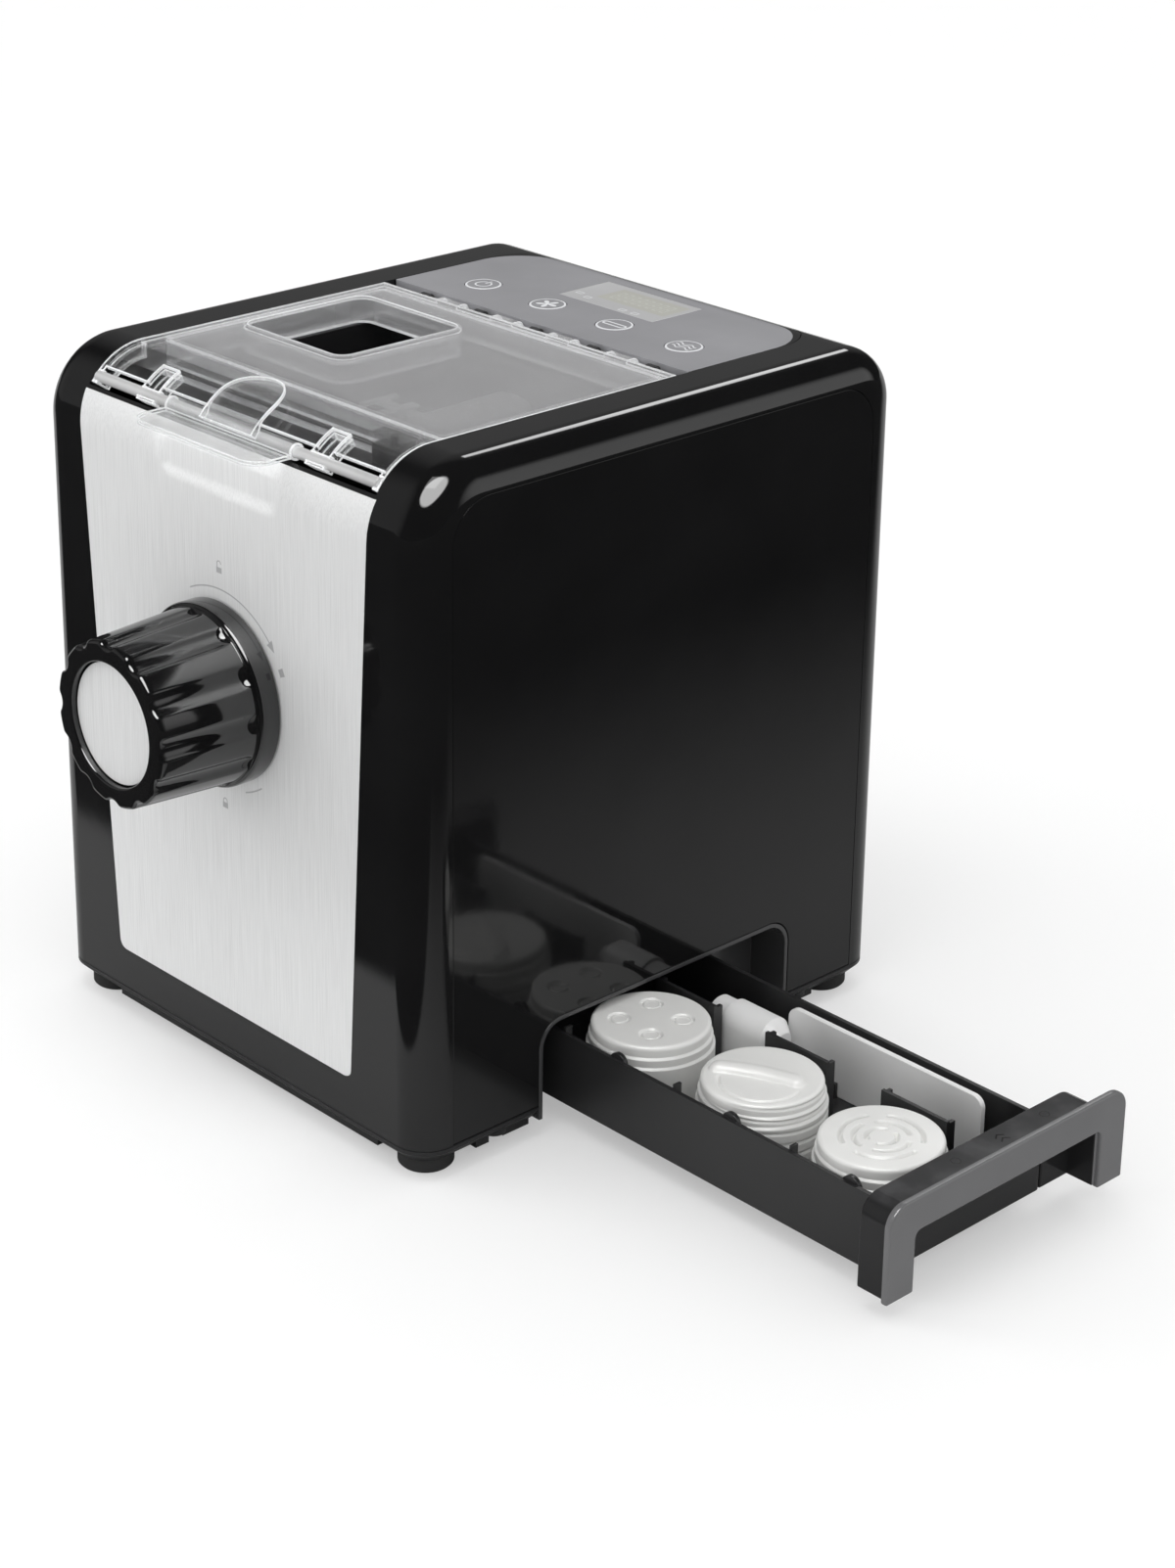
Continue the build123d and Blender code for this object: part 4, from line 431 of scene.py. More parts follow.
def display_face():
    """The window: a paler liquid crystal field with dim digits, and small printed flags beside it."""
    shader = plastic("display", (0.4, 0.4, 0.405), 0.12, shine=0.4)
    x, y, _ = shader.axes()
    centre = middle("display_window")
    x, y = x - centre.x, y - centre.y
    lcd_x, lcd_y = x - FIELD_PLACE[0], y - FIELD_PLACE[1]
    shader.printed(shader.box(lcd_x, lcd_y, *FIELD_HALF).near(0.0, 0.3), (0.46, 0.46, 0.42))
    cell = abs(shader.math("PINGPONG", lcd_x, DIGIT_PITCH / 2) - DIGIT_PITCH / 4) * 2.0
    bars = abs(lcd_y).low(abs(abs(lcd_y) - DIGIT_HALF_HEIGHT))
    flat = (bars - DIGIT_LINE).high(cell - DIGIT_HALF_WIDTH)
    side = abs(cell - DIGIT_HALF_WIDTH) - DIGIT_LINE
    upright = side.high(abs(abs(lcd_y) - DIGIT_HALF_HEIGHT / 2) - DIGIT_SIDE_HALF)
    digits = flat.low(upright).high(abs(lcd_x) - DIGITS_HALF).near(0.0, 0.2)
    shader.printed(digits * 0.5, (0.6, 0.6, 0.56))
    for place_x, place_y in FLAGS:
        spot_x, spot_y = x - place_x, y - place_y
        outline = abs(shader.box(spot_x, spot_y, *FLAG_HALF)) - FLAG_LINE
        shader.printed(outline.low(shader.ring(spot_x, spot_y, FLAG_DOT)).near(0.0), INK_WHITE)
    return shader


FRONT_TONE = (0.86, 0.865, 0.865)
UPRIGHT_LINES = (2600.0, 2600.0, 24.0)
MATERIALS = {
    "case_black": plastic("case_black", BLACK, 0.05, shine=0.55),
    "panel_black": plastic("panel_black", BLACK, 0.04, shine=0.45),
    "satin_black": plastic("satin_black", (0.01, 0.01, 0.0105), 0.3, 0.03 * MM, shine=0.4),
    "tray_black": plastic("tray_black", (0.012, 0.012, 0.0125), 0.3, 0.04 * MM, 2600.0, shine=0.7),
    "hood_black": hood_face(),
    "flange_grey": plastic("flange_grey", (0.12, 0.12, 0.123), 0.24, 0.008 * MM, dust=0.0, shine=0.8,
                           wear=0.0),
    "deck_face": deck_face(),
    "lining_grey": plastic("lining_grey", (0.035, 0.035, 0.036), 0.2, shine=0.6),
    "knob_black": plastic("knob_black", BLACK, 0.06, shine=0.85),
    "rubber": plastic("rubber", (0.02, 0.02, 0.02), 0.7, 0.05 * MM, 1800.0, dust=0.12, shine=0.3),
    "white": plastic("white", (0.76, 0.76, 0.75), 0.32, 0.01 * MM, 1400.0),
    "die_white": plastic("die_white", (0.72, 0.72, 0.705), 0.34, 0.015 * MM, 1400.0),
    "auger_white": plastic("auger_white", (0.78, 0.78, 0.76), 0.3, 0.01 * MM),
    "tub": plastic("tub", (0.012, 0.012, 0.0125), 0.1, shine=0.8),
    "panel_grey": panel_face(),
    "display": display_face(),
    "display_body": plastic("display_body", (0.3, 0.32, 0.3), 0.4),
    "board": plastic("board", (0.02, 0.12, 0.05), 0.35, 0.03 * MM, 900.0),
    "gear_nylon": plastic("gear_nylon", (0.72, 0.68, 0.58), 0.4, 0.02 * MM),
    "steel": brushed("steel", FRONT_TONE, 0.45, UPRIGHT_LINES, 0.25),
    "front_steel": front_prints(brushed("front_steel", FRONT_TONE, 0.45, UPRIGHT_LINES, 0.25)),
    "plate_steel": brushed("plate_steel", (0.5, 0.5, 0.51), 0.35, (30.0, 900.0, 900.0)),
    "bright_steel": metal("bright_steel", (0.82, 0.82, 0.82), 0.14).set(Metallic=0.45),
    "bronze": metal("bronze", (0.56, 0.36, 0.17), 0.3),
    "motor_iron": metal("motor_iron", (0.36, 0.36, 0.37), 0.38),
    "copper_core": metal("copper_core", (0.5, 0.26, 0.15), 0.42),
    "screw": metal("screw", (0.6, 0.6, 0.6), 0.25),
    "clear": clear_plastic("clear"),
    "lid_clear": reflection_veiled_lid("lid_clear"),
    "glowing_clear_edge": glowing_clear_edge("glowing_clear_edge"),
    "glowing_edge_line": glowing_clear_edge("glowing_edge_line", 0.8),
}
MATERIALS.update({node: key_face(node) for node in SIGNS})
HIDDEN = {"bronze", "motor_iron", "copper_core", "board", "gear_nylon", "plate_steel", "display_body"}


def finish_of(slot):
    """The material of a slot."""
    return MATERIALS[slot].material


# CAD nodes
SOFT_EDGE, CLEAR_EDGE = 0.35 * MM, 0.9 * MM
SHARP_ANGLE, HERO_ANGLE, FLAT_ANGLE = math.radians(35), math.radians(50), math.radians(0.4)
SEAM = 0.002 * MM


def modify(piece, kind, **settings):
    """Adds a modifier."""
    modifier = piece.modifiers.new(kind.title(), kind)
    for key, value in settings.items():
        setattr(modifier, key, value)


def soften(piece, edge, segments=2, angle=HERO_ANGLE, material=-1, keep_sharp=False):
    """Rounds the edges sharper than an angle and keeps flat faces flat in the light."""
    modify(piece, "BEVEL", width=edge, segments=segments, limit_method="ANGLE", angle_limit=angle,
           material=material)
    modify(piece, "WEIGHTED_NORMAL", keep_sharp=keep_sharp)


def dress(node, slot):
    """Gives a CAD node its finish, softens its edges and smooths its round faces."""
    piece = frame["nodes"][node]
    piece.data.materials.clear()
    piece.data.materials.append(finish_of(OWN_FINISH.get(node, slot)))
    piece.data.shade_smooth()
    for stored in ("sharp_edge", "custom_normal"):
        if stored in piece.data.attributes:
            piece.data.attributes.remove(piece.data.attributes[stored])
    modify(piece, "WELD", merge_threshold=SEAM)
    if slot in HIDDEN:
        modify(piece, "EDGE_SPLIT", split_angle=SHARP_ANGLE)
        return
    modify(piece, "DECIMATE", decimate_type="DISSOLVE", angle_limit=FLAT_ANGLE)
    if slot == "clear":
        # The bevels of clear pieces take the glowing rim finish, a painted highlight
        piece.data.materials.append(finish_of("glowing_clear_edge"))
        soften(piece, CLEAR_EDGE, angle=SHARP_ANGLE, material=1)
    else:
        soften(piece, SOFT_EDGE, angle=SHARP_ANGLE)


OWN_FINISH = {node: node for node in SIGNS}
OWN_FINISH.update(drawer_surround="lining_grey", hinge_bracket="lining_grey", top_deck="deck_face",
                  lid="lid_clear")
REPLACED = ("front_panel", "lock_knob", "lid_latch", "drawer_front", "ring_die", "bar_die", "hole_die")
for part in frame["record"]["subparts"]:
    if part["node"] not in REPLACED:
        dress(part["node"], part["material_slot"])


# Surfaces
def grid_quads(rows, columns, wrap=False, first=0):
    """The four-cornered faces of a grid of points, whose last column may join the first."""
    row, column = np.meshgrid(np.arange(rows - 1), np.arange(columns if wrap else columns - 1), indexing="ij")
    beside = (column + 1) % columns
    corners = (row * columns + column, row * columns + beside, (row + 1) * columns + beside,
               (row + 1) * columns + column)
    return first + np.stack(corners, axis=-1).reshape(-1, 4)


def border(r0, r1, c0, c1, columns):
    """The points round a rectangle of a grid, in order."""
    places = [(r0, c) for c in range(c0, c1)] + [(r, c1) for r in range(r0, r1)]
    places += [(r1, c) for c in range(c1, c0, -1)] + [(r, c0) for r in range(r1, r0, -1)]
    return np.array([r * columns + c for r, c in places])


def band(here, there):
    """The faces between two rings of points."""
    return np.stack([here, np.roll(here, -1), np.roll(there, -1), there], axis=1).tolist()


def full_turn(steps):
    return np.linspace(0, 2 * math.pi, steps, endpoint=False)


def solid(name, points, faces, slot, body, *replaced):
    """A piece from points in millimetres and faces, with its faces turned outward."""
    mesh = bpy.data.meshes.new(name)
    mesh.from_pydata((np.asarray(points).reshape(-1, 3) * MM).tolist(), [], [tuple(f) for f in faces])
    shape = bmesh.new()
    shape.from_mesh(mesh)
    bmesh.ops.remove_doubles(shape, verts=shape.verts, dist=0.0005 * MM)
    bmesh.ops.recalc_face_normals(shape, faces=shape.faces)
    shape.to_mesh(mesh)
    shape.free()
    mesh.shade_smooth()
    mesh.materials.append(finish_of(slot))
    piece = bpy.data.objects.new(name, mesh)
    bpy.context.collection.objects.link(piece)
    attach(piece, body)
    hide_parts(*replaced)
    return piece


def rounded_path(corners, radii, steps=6):
    """A path through corners in a plane, each turned by an arc of its radius."""
    path = []
    for k, (corner, radius) in enumerate(zip(corners, radii)):
        here = np.array(corner, float)
        before = np.array(corners[k - 1], float) - here
        after = np.array(corners[(k + 1) % len(corners)], float) - here
        before, after = before / np.linalg.norm(before), after / np.linalg.norm(after)
        half = math.acos(float(np.clip(before @ after, -1, 1))) / 2
        if radius == 0:
            path.append(here)
            continue
        reach = radius / math.tan(half)
        centre = here + (before + after) / np.linalg.norm(before + after) * radius / math.sin(half)
        start, end = here + before * reach - centre, here + after * reach - centre
        turn = math.pi - 2 * half
        for share in np.linspace(0, 1, steps):
            a, b = math.sin((1 - share) * turn), math.sin(share * turn)
            path.append(centre + (start * a + end * b) / math.sin(turn))
    return np.array(path)


def resampled(path, step, shown=lambda start, end: True):
    """A path with points added so that its shown stretches are no longer than about a step."""
    dense = [path[0]]
    for start, end in zip(path[:-1], path[1:]):
        pieces = max(1, int(np.hypot(*(end - start)) / step)) if shown(start, end) else 1
        dense += [start + (end - start) * k / pieces for k in range(1, pieces + 1)]
    return np.array(dense)


# Steel front
STEEL_THICK = 0.8
STEEL_END_ANGLE = 30.0
STEEL_FOOT_HALF, STEEL_TOP_HALF = 77.9, 92.4
STEEL_CORNER = 4.0
RECESS_HALF, RECESS_LOW, RECESS_DEPTH, RECESS_CORNER = 39.5, 258.5, 1.5, 8.0
RECESS_WALL = 6.5
PATCH_HALF = 45.0
HOLE_RADIUS = 30.1


def smooth(value):
    """0 up to 0, 1 from 1 on and v v (3 - 2 v) between them."""
    value = np.clip(value, 0, 1)
    return value * value * (3 - 2 * value)


def steel_point(across, along, depth):
    """A point of the sheet. along is the way up its face: straight to the curve's foot, then round
    the curve. The finger dish sinks it by RECESS_DEPTH, with soft walls, until it meets the curve."""
    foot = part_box("front_panel")[0].z * 1000
    straight = CURVE_Z - foot
    angle = np.clip(along - straight, 0, None) / CURVE_RADIUS
    radius = CURVE_RADIUS - depth
    z = np.where(angle > 0, CURVE_Z + radius * np.sin(angle), foot + along)
    surface_y = np.where(angle > 0, CURVE_Y - radius * np.cos(angle), FRONT_Y + depth)
    height = np.where(angle > 0, CURVE_Z + CURVE_RADIUS * np.sin(angle), foot + along)
    slope = (STEEL_TOP_HALF - STEEL_FOOT_HALF) / (CURVE_Z + CURVE_RADIUS / 2 - foot)
    half = STEEL_FOOT_HALF + slope * (height - foot)
    corner = np.clip(STEEL_CORNER - along, 0, None)
    half = half - (STEEL_CORNER - np.sqrt(STEEL_CORNER ** 2 - corner ** 2))
    inner = 2 * across * PATCH_HALF
    outer = PATCH_HALF + (half - PATCH_HALF) * (2 * np.abs(across) - 1)
    x = np.where(np.abs(across) <= 0.5, inner, np.sign(across) * outer)
    beside = np.abs(x) - RECESS_HALF + RECESS_CORNER
    below = RECESS_LOW + RECESS_CORNER - height
    edge = np.hypot(np.clip(beside, 0, None), np.clip(below, 0, None))
    edge = edge + np.minimum(np.maximum(beside, below), 0)
    dish = smooth((RECESS_CORNER - edge) / RECESS_WALL)
    room = np.clip(RECESS_DEPTH - (surface_y - depth - FRONT_Y), 0, None)
    return np.stack(np.broadcast_arrays(x, surface_y + dish * room, z), axis=-1)


def steel_front():
    """The brushed sheet: two skins on one grid, joined round the rim, with a round hole for the outlet."""
    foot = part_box("front_panel")[0].z * 1000
    outlet = middle("cap_face").z - foot
    length = CURVE_Z - foot + CURVE_RADIUS * math.radians(STEEL_END_ANGLE)
    dish_foot = RECESS_LOW - foot
    along = np.unique(np.round(np.concatenate([
        np.linspace(0, STEEL_CORNER, 7), np.linspace(STEEL_CORNER, outlet - PATCH_HALF, 8),
        np.linspace(outlet - PATCH_HALF, outlet + PATCH_HALF, 13),
        np.linspace(outlet + PATCH_HALF, dish_foot - 2, 4),
        np.linspace(dish_foot - 2, dish_foot + 10, 25), np.linspace(dish_foot + 10, length, 20)]), 4))
    dish_edge = RECESS_HALF / (2 * PATCH_HALF)
    right = np.concatenate([np.linspace(0, dish_edge - 0.1, 6),
                            np.linspace(dish_edge - 0.1, dish_edge + 0.01, 22),
                            [0.475, 0.5, 0.6, 0.75, 0.9, 0.985, 1.0]])
    across = np.unique(np.round(np.concatenate([-right, right]), 5))
    rows, columns = len(along), len(across)
    skins, faces = [], []
    hole_rows = [k for k, a in enumerate(along) if abs(a - outlet) <= PATCH_HALF + 0.01]
    hole_columns = [k for k, a in enumerate(across) if abs(a) <= 0.5001]
    r0, r1, c0, c1 = hole_rows[0], hole_rows[-1], hole_columns[0], hole_columns[-1]
    for skin, depth in enumerate((0.0, STEEL_THICK)):
        skins.append(steel_point(across[None, :], along[:, None], depth).reshape(-1, 3))
        quads = grid_quads(rows, columns)
        row, column = quads[:, 0] // columns, quads[:, 0] % columns
        outside = ~((row >= r0) & (row < r1) & (column >= c0) & (column < c1))
        faces += (quads[outside] + skin * rows * columns).tolist()
    square = border(r0, r1, c0, c1, columns)
    rim = border(0, rows - 1, 0, columns - 1, columns)
    count = rows * columns
    faces += band(rim, rim + count)
    points = np.concatenate(skins)
    hole = np.array([0.0, outlet + foot])
    rings = []
    for skin in range(2):
        edge = square + skin * count
        circle = points[edge]
        offset = circle[:, [0, 2]] - hole
        circle[:, [0, 2]] = offset / np.hypot(*offset.T)[:, None] * HOLE_RADIUS + hole
        rings.append(circle)
        ring = 2 * count + skin * len(square) + np.arange(len(square))
        faces += band(edge, ring)
    lower = 2 * count + np.arange(len(square))
    faces += band(lower, lower + len(square))
    sheet = solid("steel_front_sheet", np.concatenate([points, *rings]), faces, "front_steel", "chassis",
                  "front_panel")
    soften(sheet, 0.2 * MM, keep_sharp=True)


# Locking knob
FLUTE_COUNT, FLUTE_RADIUS, FLUTE_DEPTH, FLUTE_START = 12, 7.0, 2.0, 4.0
FLUTE_STEPS, PROFILE_STEP = 24, 1.6
RIDGE_SOFTNESS = 0.22
COLLAR_RADIUS, COLLAR_DEPTH = 38.5, 10.0
GRIP_REAR_RADIUS, GRIP_FRONT_RADIUS = 37.0, 34.3
RIM_WIDTH, RIM_BLEND = 4.0, 3.0
BORE_RADIUS, SOCKET_RADIUS, SOCKET_DEPTH = 25.7, 32.9, 12.7


def fluted(radius, turn, y, flute_start):
    """The grip's radius at a turn: its cone, cut by round flutes with ball ends. The ridges are soft,
    by r - s ln(1 + exp((r - cut) / s)) with s the softness."""
    step = 2 * math.pi / FLUTE_COUNT
    off = (turn + step / 2) % step - step / 2
    reach = radius - FLUTE_DEPTH + FLUTE_RADIUS
    ball = FLUTE_RADIUS ** 2 - np.clip(y - flute_start, 0, None) ** 2
    inside = ball - (reach * np.sin(off)) ** 2
    cut = reach * np.cos(off) - np.sqrt(np.clip(inside, 0, None)) + np.clip(-inside, 0, None) * 0.3
    blend = np.clip((cut - radius) / RIDGE_SOFTNESS, -40, 40)
    return radius - RIDGE_SOFTNESS * np.log1p(np.exp(-blend))


def locking_knob():
    """The knob as one closed profile turned round the outlet's axis, with flutes in its grip."""
    low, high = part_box("lock_knob")
    front, rear = low.y * 1000, high.y * 1000
    axis = middle("cap_face").z
    collar_front = rear - COLLAR_DEPTH
    corners = [(rear, SOCKET_RADIUS), (rear, COLLAR_RADIUS), (collar_front, COLLAR_RADIUS),
               (collar_front, GRIP_REAR_RADIUS - 0.2), (front, GRIP_FRONT_RADIUS), (front, BORE_RADIUS),
               (rear - SOCKET_DEPTH, BORE_RADIUS), (rear - SOCKET_DEPTH, SOCKET_RADIUS)]
    path = rounded_path(corners, [0.4, 0.6, 2.2, 0.8, 2.0, 1.2, 0.4, 0.4])
    dense = resampled(np.concatenate([path, path[:1]]), PROFILE_STEP)[:-1]
    turn = full_turn(FLUTE_STEPS * FLUTE_COUNT)
    y, radius = dense[:, :1], dense[:, 1:]
    share = np.clip((collar_front - y) / (collar_front - front), 0, 1)
    cone = GRIP_REAR_RADIUS + (GRIP_FRONT_RADIUS - GRIP_REAR_RADIUS) * share
    grip = (y < collar_front) & (radius > BORE_RADIUS + RIM_WIDTH)
    reduced = cone - fluted(cone, turn[None, :], y, collar_front - FLUTE_START)
    rounding = np.clip((radius - BORE_RADIUS - RIM_WIDTH) / RIM_BLEND, 0, 1)
    reach = np.where(grip, radius - reduced * rounding, radius)
    points = np.stack(np.broadcast_arrays(reach * np.cos(turn), y, axis + reach * np.sin(turn)), axis=-1)
    rows, columns = points.shape[:2]
    faces = grid_quads(rows + 1, columns, wrap=True) % (rows * columns)
    knob = solid("fluted_knob", points, faces, "knob_black", "knob", "lock_knob")


# Housing
REAR_RADIUS, SHOULDER = 24.0, 15.0
SKIN_REACH, SKIN_FACING = 0.2, 0.6


def case_distance(place):
    """The distance in millimetres from the housing's outer skin, negative inside. Its side view is a
    box with a large curve at the front and rear of its top; its sides join that outline by a shoulder."""
    low, high = (corner * 1000 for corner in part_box("housing_shell"))
    x, y, z = place.T
    rear_y, rear_z = high.y - REAR_RADIUS, high.z - REAR_RADIUS
    front = np.hypot(y - CURVE_Y, z - CURVE_Z) - CURVE_RADIUS
    rear = np.hypot(y - rear_y, z - rear_z) - REAR_RADIUS
    flat = np.maximum(np.maximum(low.y - y, y - high.y), z - high.z)
    at_front, at_rear = (y < CURVE_Y) & (z > CURVE_Z), (y > rear_y) & (z > rear_z)
    outline = np.where(at_front, front, np.where(at_rear, rear, flat))
    past = np.stack([outline + SHOULDER, np.abs(x) - high.x + SHOULDER])
    return np.hypot(*np.clip(past, 0, None)) + np.minimum(past.max(axis=0), 0) - SHOULDER


def read(items, key, width, kind=float):
    """One property of all the items of a mesh, as an array."""
    flat = np.empty(len(items) * width, kind)
    items.foreach_get(key, flat)
    return flat.reshape(-1, width) if width > 1 else flat


def glossy_case():
    """A copy of the softened housing. On its outer skin the normals come from the true shape, so that
    the round corners mirror smoothly."""
    graph = bpy.context.evaluated_depsgraph_get()
    softened = frame["nodes"]["housing_shell"].evaluated_get(graph)
    mesh = bpy.data.meshes.new_from_object(softened, depsgraph=graph)
    normals = read(mesh.corner_normals, "vector", 3)
    corner_points = read(mesh.loops, "vertex_index", 1, np.int32)
    corner_counts = read(mesh.polygons, "loop_total", 1, np.int32)
    place = read(mesh.vertices, "co", 3)[corner_points] * 1000.0
    facing = np.repeat(read(mesh.polygons, "normal", 3), corner_counts, axis=0)
    nudges = np.eye(3) * 0.01
    slope = np.stack([case_distance(place + n) - case_distance(place - n) for n in nudges], axis=1)
    slope /= np.maximum(np.linalg.norm(slope, axis=1, keepdims=True), 1e-9)
    skin = (np.abs(case_distance(place)) < SKIN_REACH) & ((slope * facing).sum(axis=1) > SKIN_FACING)
    normals[skin] = slope[skin]
    mesh.normals_split_custom_set(normals.tolist())
    piece = bpy.data.objects.new("glossy_case", mesh)
    bpy.context.collection.objects.link(piece)
    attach(piece, "chassis")
    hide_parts("housing_shell")


# Drawer front
FLANGE_THICK, FLANGE_LEG, FLANGE_BAR = 3.2, 15.0, 14.5
HOOD_WALL, HOOD_CORNER, FLANGE_INNER_CORNER = 2.2, 9.0, 3.0
HOOD_INSET, HOOD_DROP, HOOD_OVERLAP, TRAY_GAP = 1.0, 0.8, 0.5, 0.2
CROSS_WALL_FOOT, CROSS_WALL_FRONT = 25.9, 3.1


def prism(outline, start, end, first, axis=0):
    """A flat outline drawn out along an axis, as points and faces counted from first."""
    outline = np.asarray(outline, float)
    count = len(outline)
    points = [np.insert(outline, axis, level, axis=1) for level in (start, end)]
    here = first + np.arange(count)
    faces = [here.tolist(), (here + count)[::-1].tolist(), *band(here, here + count)]
    return np.concatenate(points), faces


def arch(left, right, foot, top, leg, bar, outer, inner):
    """The outline of an upturned U."""
    corners = [(left, foot), (left, top), (right, top), (right, foot), (right - leg, foot),
               (right - leg, top - bar), (left + leg, top - bar), (left + leg, foot)]
    return rounded_path(corners, [0, outer, outer, 0, 0, inner, inner, 0], 14)


def drawer_handle():
    """The drawer's front: a flange round the doorway, the hood behind it, the hood's rear wall beside
    the tray and a cross wall above the tray's end."""
    low, high = (corner * 1000 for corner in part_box("drawer_front"))
    flange_rear = high.x - FLANGE_THICK
    hood_foot, hood_top = low.z + HOOD_INSET, high.z - HOOD_DROP
    hood_left, hood_right = low.y + HOOD_INSET, high.y - FLANGE_LEG + HOOD_OVERLAP
    beside_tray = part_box("drawer_tray")[1].y * 1000 + TRAY_GAP
    cross_front = low.x + CROSS_WALL_FRONT

    def slab(left, right, foot, top, left_corner):
        corners = [(left, foot), (left, top), (right, top), (right, foot)]
        return rounded_path(corners, [0, left_corner, HOOD_CORNER, 0])

    flange = arch(low.y, high.y, low.z, high.z, FLANGE_LEG, FLANGE_BAR, HOOD_CORNER, FLANGE_INNER_CORNER)
    hood = arch(hood_left, hood_right, hood_foot, hood_top, HOOD_WALL, HOOD_WALL, HOOD_CORNER,
                HOOD_CORNER - HOOD_WALL)
    rear_wall = slab(beside_tray, hood_right - 0.6, hood_foot + 0.4, hood_top - 0.6, 0)
    cross_wall = slab(hood_left + 1, hood_right - 1, low.z + CROSS_WALL_FOOT, hood_top - 1.0, HOOD_CORNER)
    parts = [(flange, flange_rear, high.x), (hood, low.x, flange_rear + FLANGE_THICK / 2),
             (rear_wall, low.x + 0.1, low.x + HOOD_WALL), (cross_wall, cross_front, cross_front + HOOD_WALL)]
    points, faces = [], []
    for outline, start, end in parts:
        made, around = prism(outline, start, end, sum(len(p) for p in points))
        points.append(made)
        faces += around
    piece = solid("drawer_handle", np.concatenate(points), faces, "hood_black", "drawer", "drawer_front")
    piece.data.materials.append(finish_of("flange_grey"))
    grey_from = (flange_rear - 0.01) * MM
    for face in piece.data.polygons:
        face.material_index = int(all(piece.data.vertices[v].co.x > grey_from for v in face.vertices))
    soften(piece, 0.9 * MM, 4)


# Latch
SLEEVE_RADIUS, SLEEVE_BORE, SLEEVE_SIDES = 3.6, 2.55, 40
LIP_LOW, LIP_HIGH, LIP_CORNER, LIP_GAP = 283.1, 285.1, 9.0, 0.3
TAB_INNER, TAB_OUTER, TAB_START, TAB_END = 35.0, 36.6, 38.0, 86.0
TAB_ROOT_EXTRA, TAB_ROOT_END, TAB_ROOT_SOFTNESS = 2.0, 50.0, 8.0
TAB_SIDES, TAB_GRID = (-15.0, 18.0), (30, 25)


def clear_latch():
    """The clear latch: a sleeve on the rod, a lip with round corners, and a tab that follows the lid's
    curve up to a round end."""
    low, high = (corner * 1000 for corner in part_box("lid_latch"))
    rod = middle("latch_rod")
    turn = full_turn(SLEEVE_SIDES)
    points, faces = [], []
    rims = ((low.x, SLEEVE_RADIUS), (high.x, SLEEVE_RADIUS), (high.x, SLEEVE_BORE), (low.x, SLEEVE_BORE))
    for x, radius in rims:
        y, z = rod.y + radius * np.cos(turn), rod.z + radius * np.sin(turn)
        points.append(np.column_stack([np.full(SLEEVE_SIDES, x), y, z]))
    first = len(rims) * SLEEVE_SIDES
    faces += (grid_quads(len(rims) + 1, SLEEVE_SIDES, wrap=True) % first).tolist()
    lip_rear = rod.y - SLEEVE_BORE - LIP_GAP
    corners = [(low.x, lip_rear), (low.x, low.y), (high.x, low.y), (high.x, lip_rear)]
    lip = rounded_path(corners, [0, LIP_CORNER, LIP_CORNER, 0], 10)
    made, around = prism(lip, LIP_LOW, LIP_HIGH, first, 2)
    points.append(made)
    faces += around
    middle_x, half = sum(TAB_SIDES) / 2, (TAB_SIDES[1] - TAB_SIDES[0]) / 2
    length = math.radians(TAB_END - TAB_START) * TAB_OUTER
    rows, columns = TAB_GRID
    along = length * np.sin(np.linspace(0, math.pi / 2, rows))[:, None]
    across = np.linspace(-1, 1, columns)[None, :]
    width = half * np.sqrt(np.clip(1 - (np.clip(along - length + half, 0, None) / half) ** 2, 0, 1))
    angle = math.radians(TAB_START) + along / TAB_OUTER
    root = smooth((math.radians(TAB_ROOT_END) - angle) / math.radians(TAB_ROOT_SOFTNESS))
    inner = TAB_INNER - TAB_ROOT_EXTRA * root
    first = sum(len(p) for p in points)
    for radius in (inner, np.full_like(inner, TAB_OUTER)):
        shell = np.broadcast_arrays(middle_x + across * width, CURVE_Y - radius * np.cos(angle),
                                    CURVE_Z + radius * np.sin(angle))
        points.append(np.stack(shell, axis=-1).reshape(-1, 3))
    count = rows * columns
    quads = grid_quads(rows, columns, first=first)
    faces += quads.tolist() + (quads + count).tolist()
    rim = first + border(0, rows - 1, 0, columns - 1, columns)
    faces += band(rim, rim + count)
    piece = solid("clear_latch", np.concatenate(points), faces, "clear", "latch", "lid_latch")
    # The latch's bevels take the glowing rim finish, a painted highlight
    piece.data.materials.append(finish_of("glowing_clear_edge"))
    soften(piece, 0.7 * MM, material=1)
    return piece


LINE_RADIUS, LINE_SIDES, LINE_INSET, LINE_SHORTEST = 0.36, 6, 1.4, 0.02 * MM


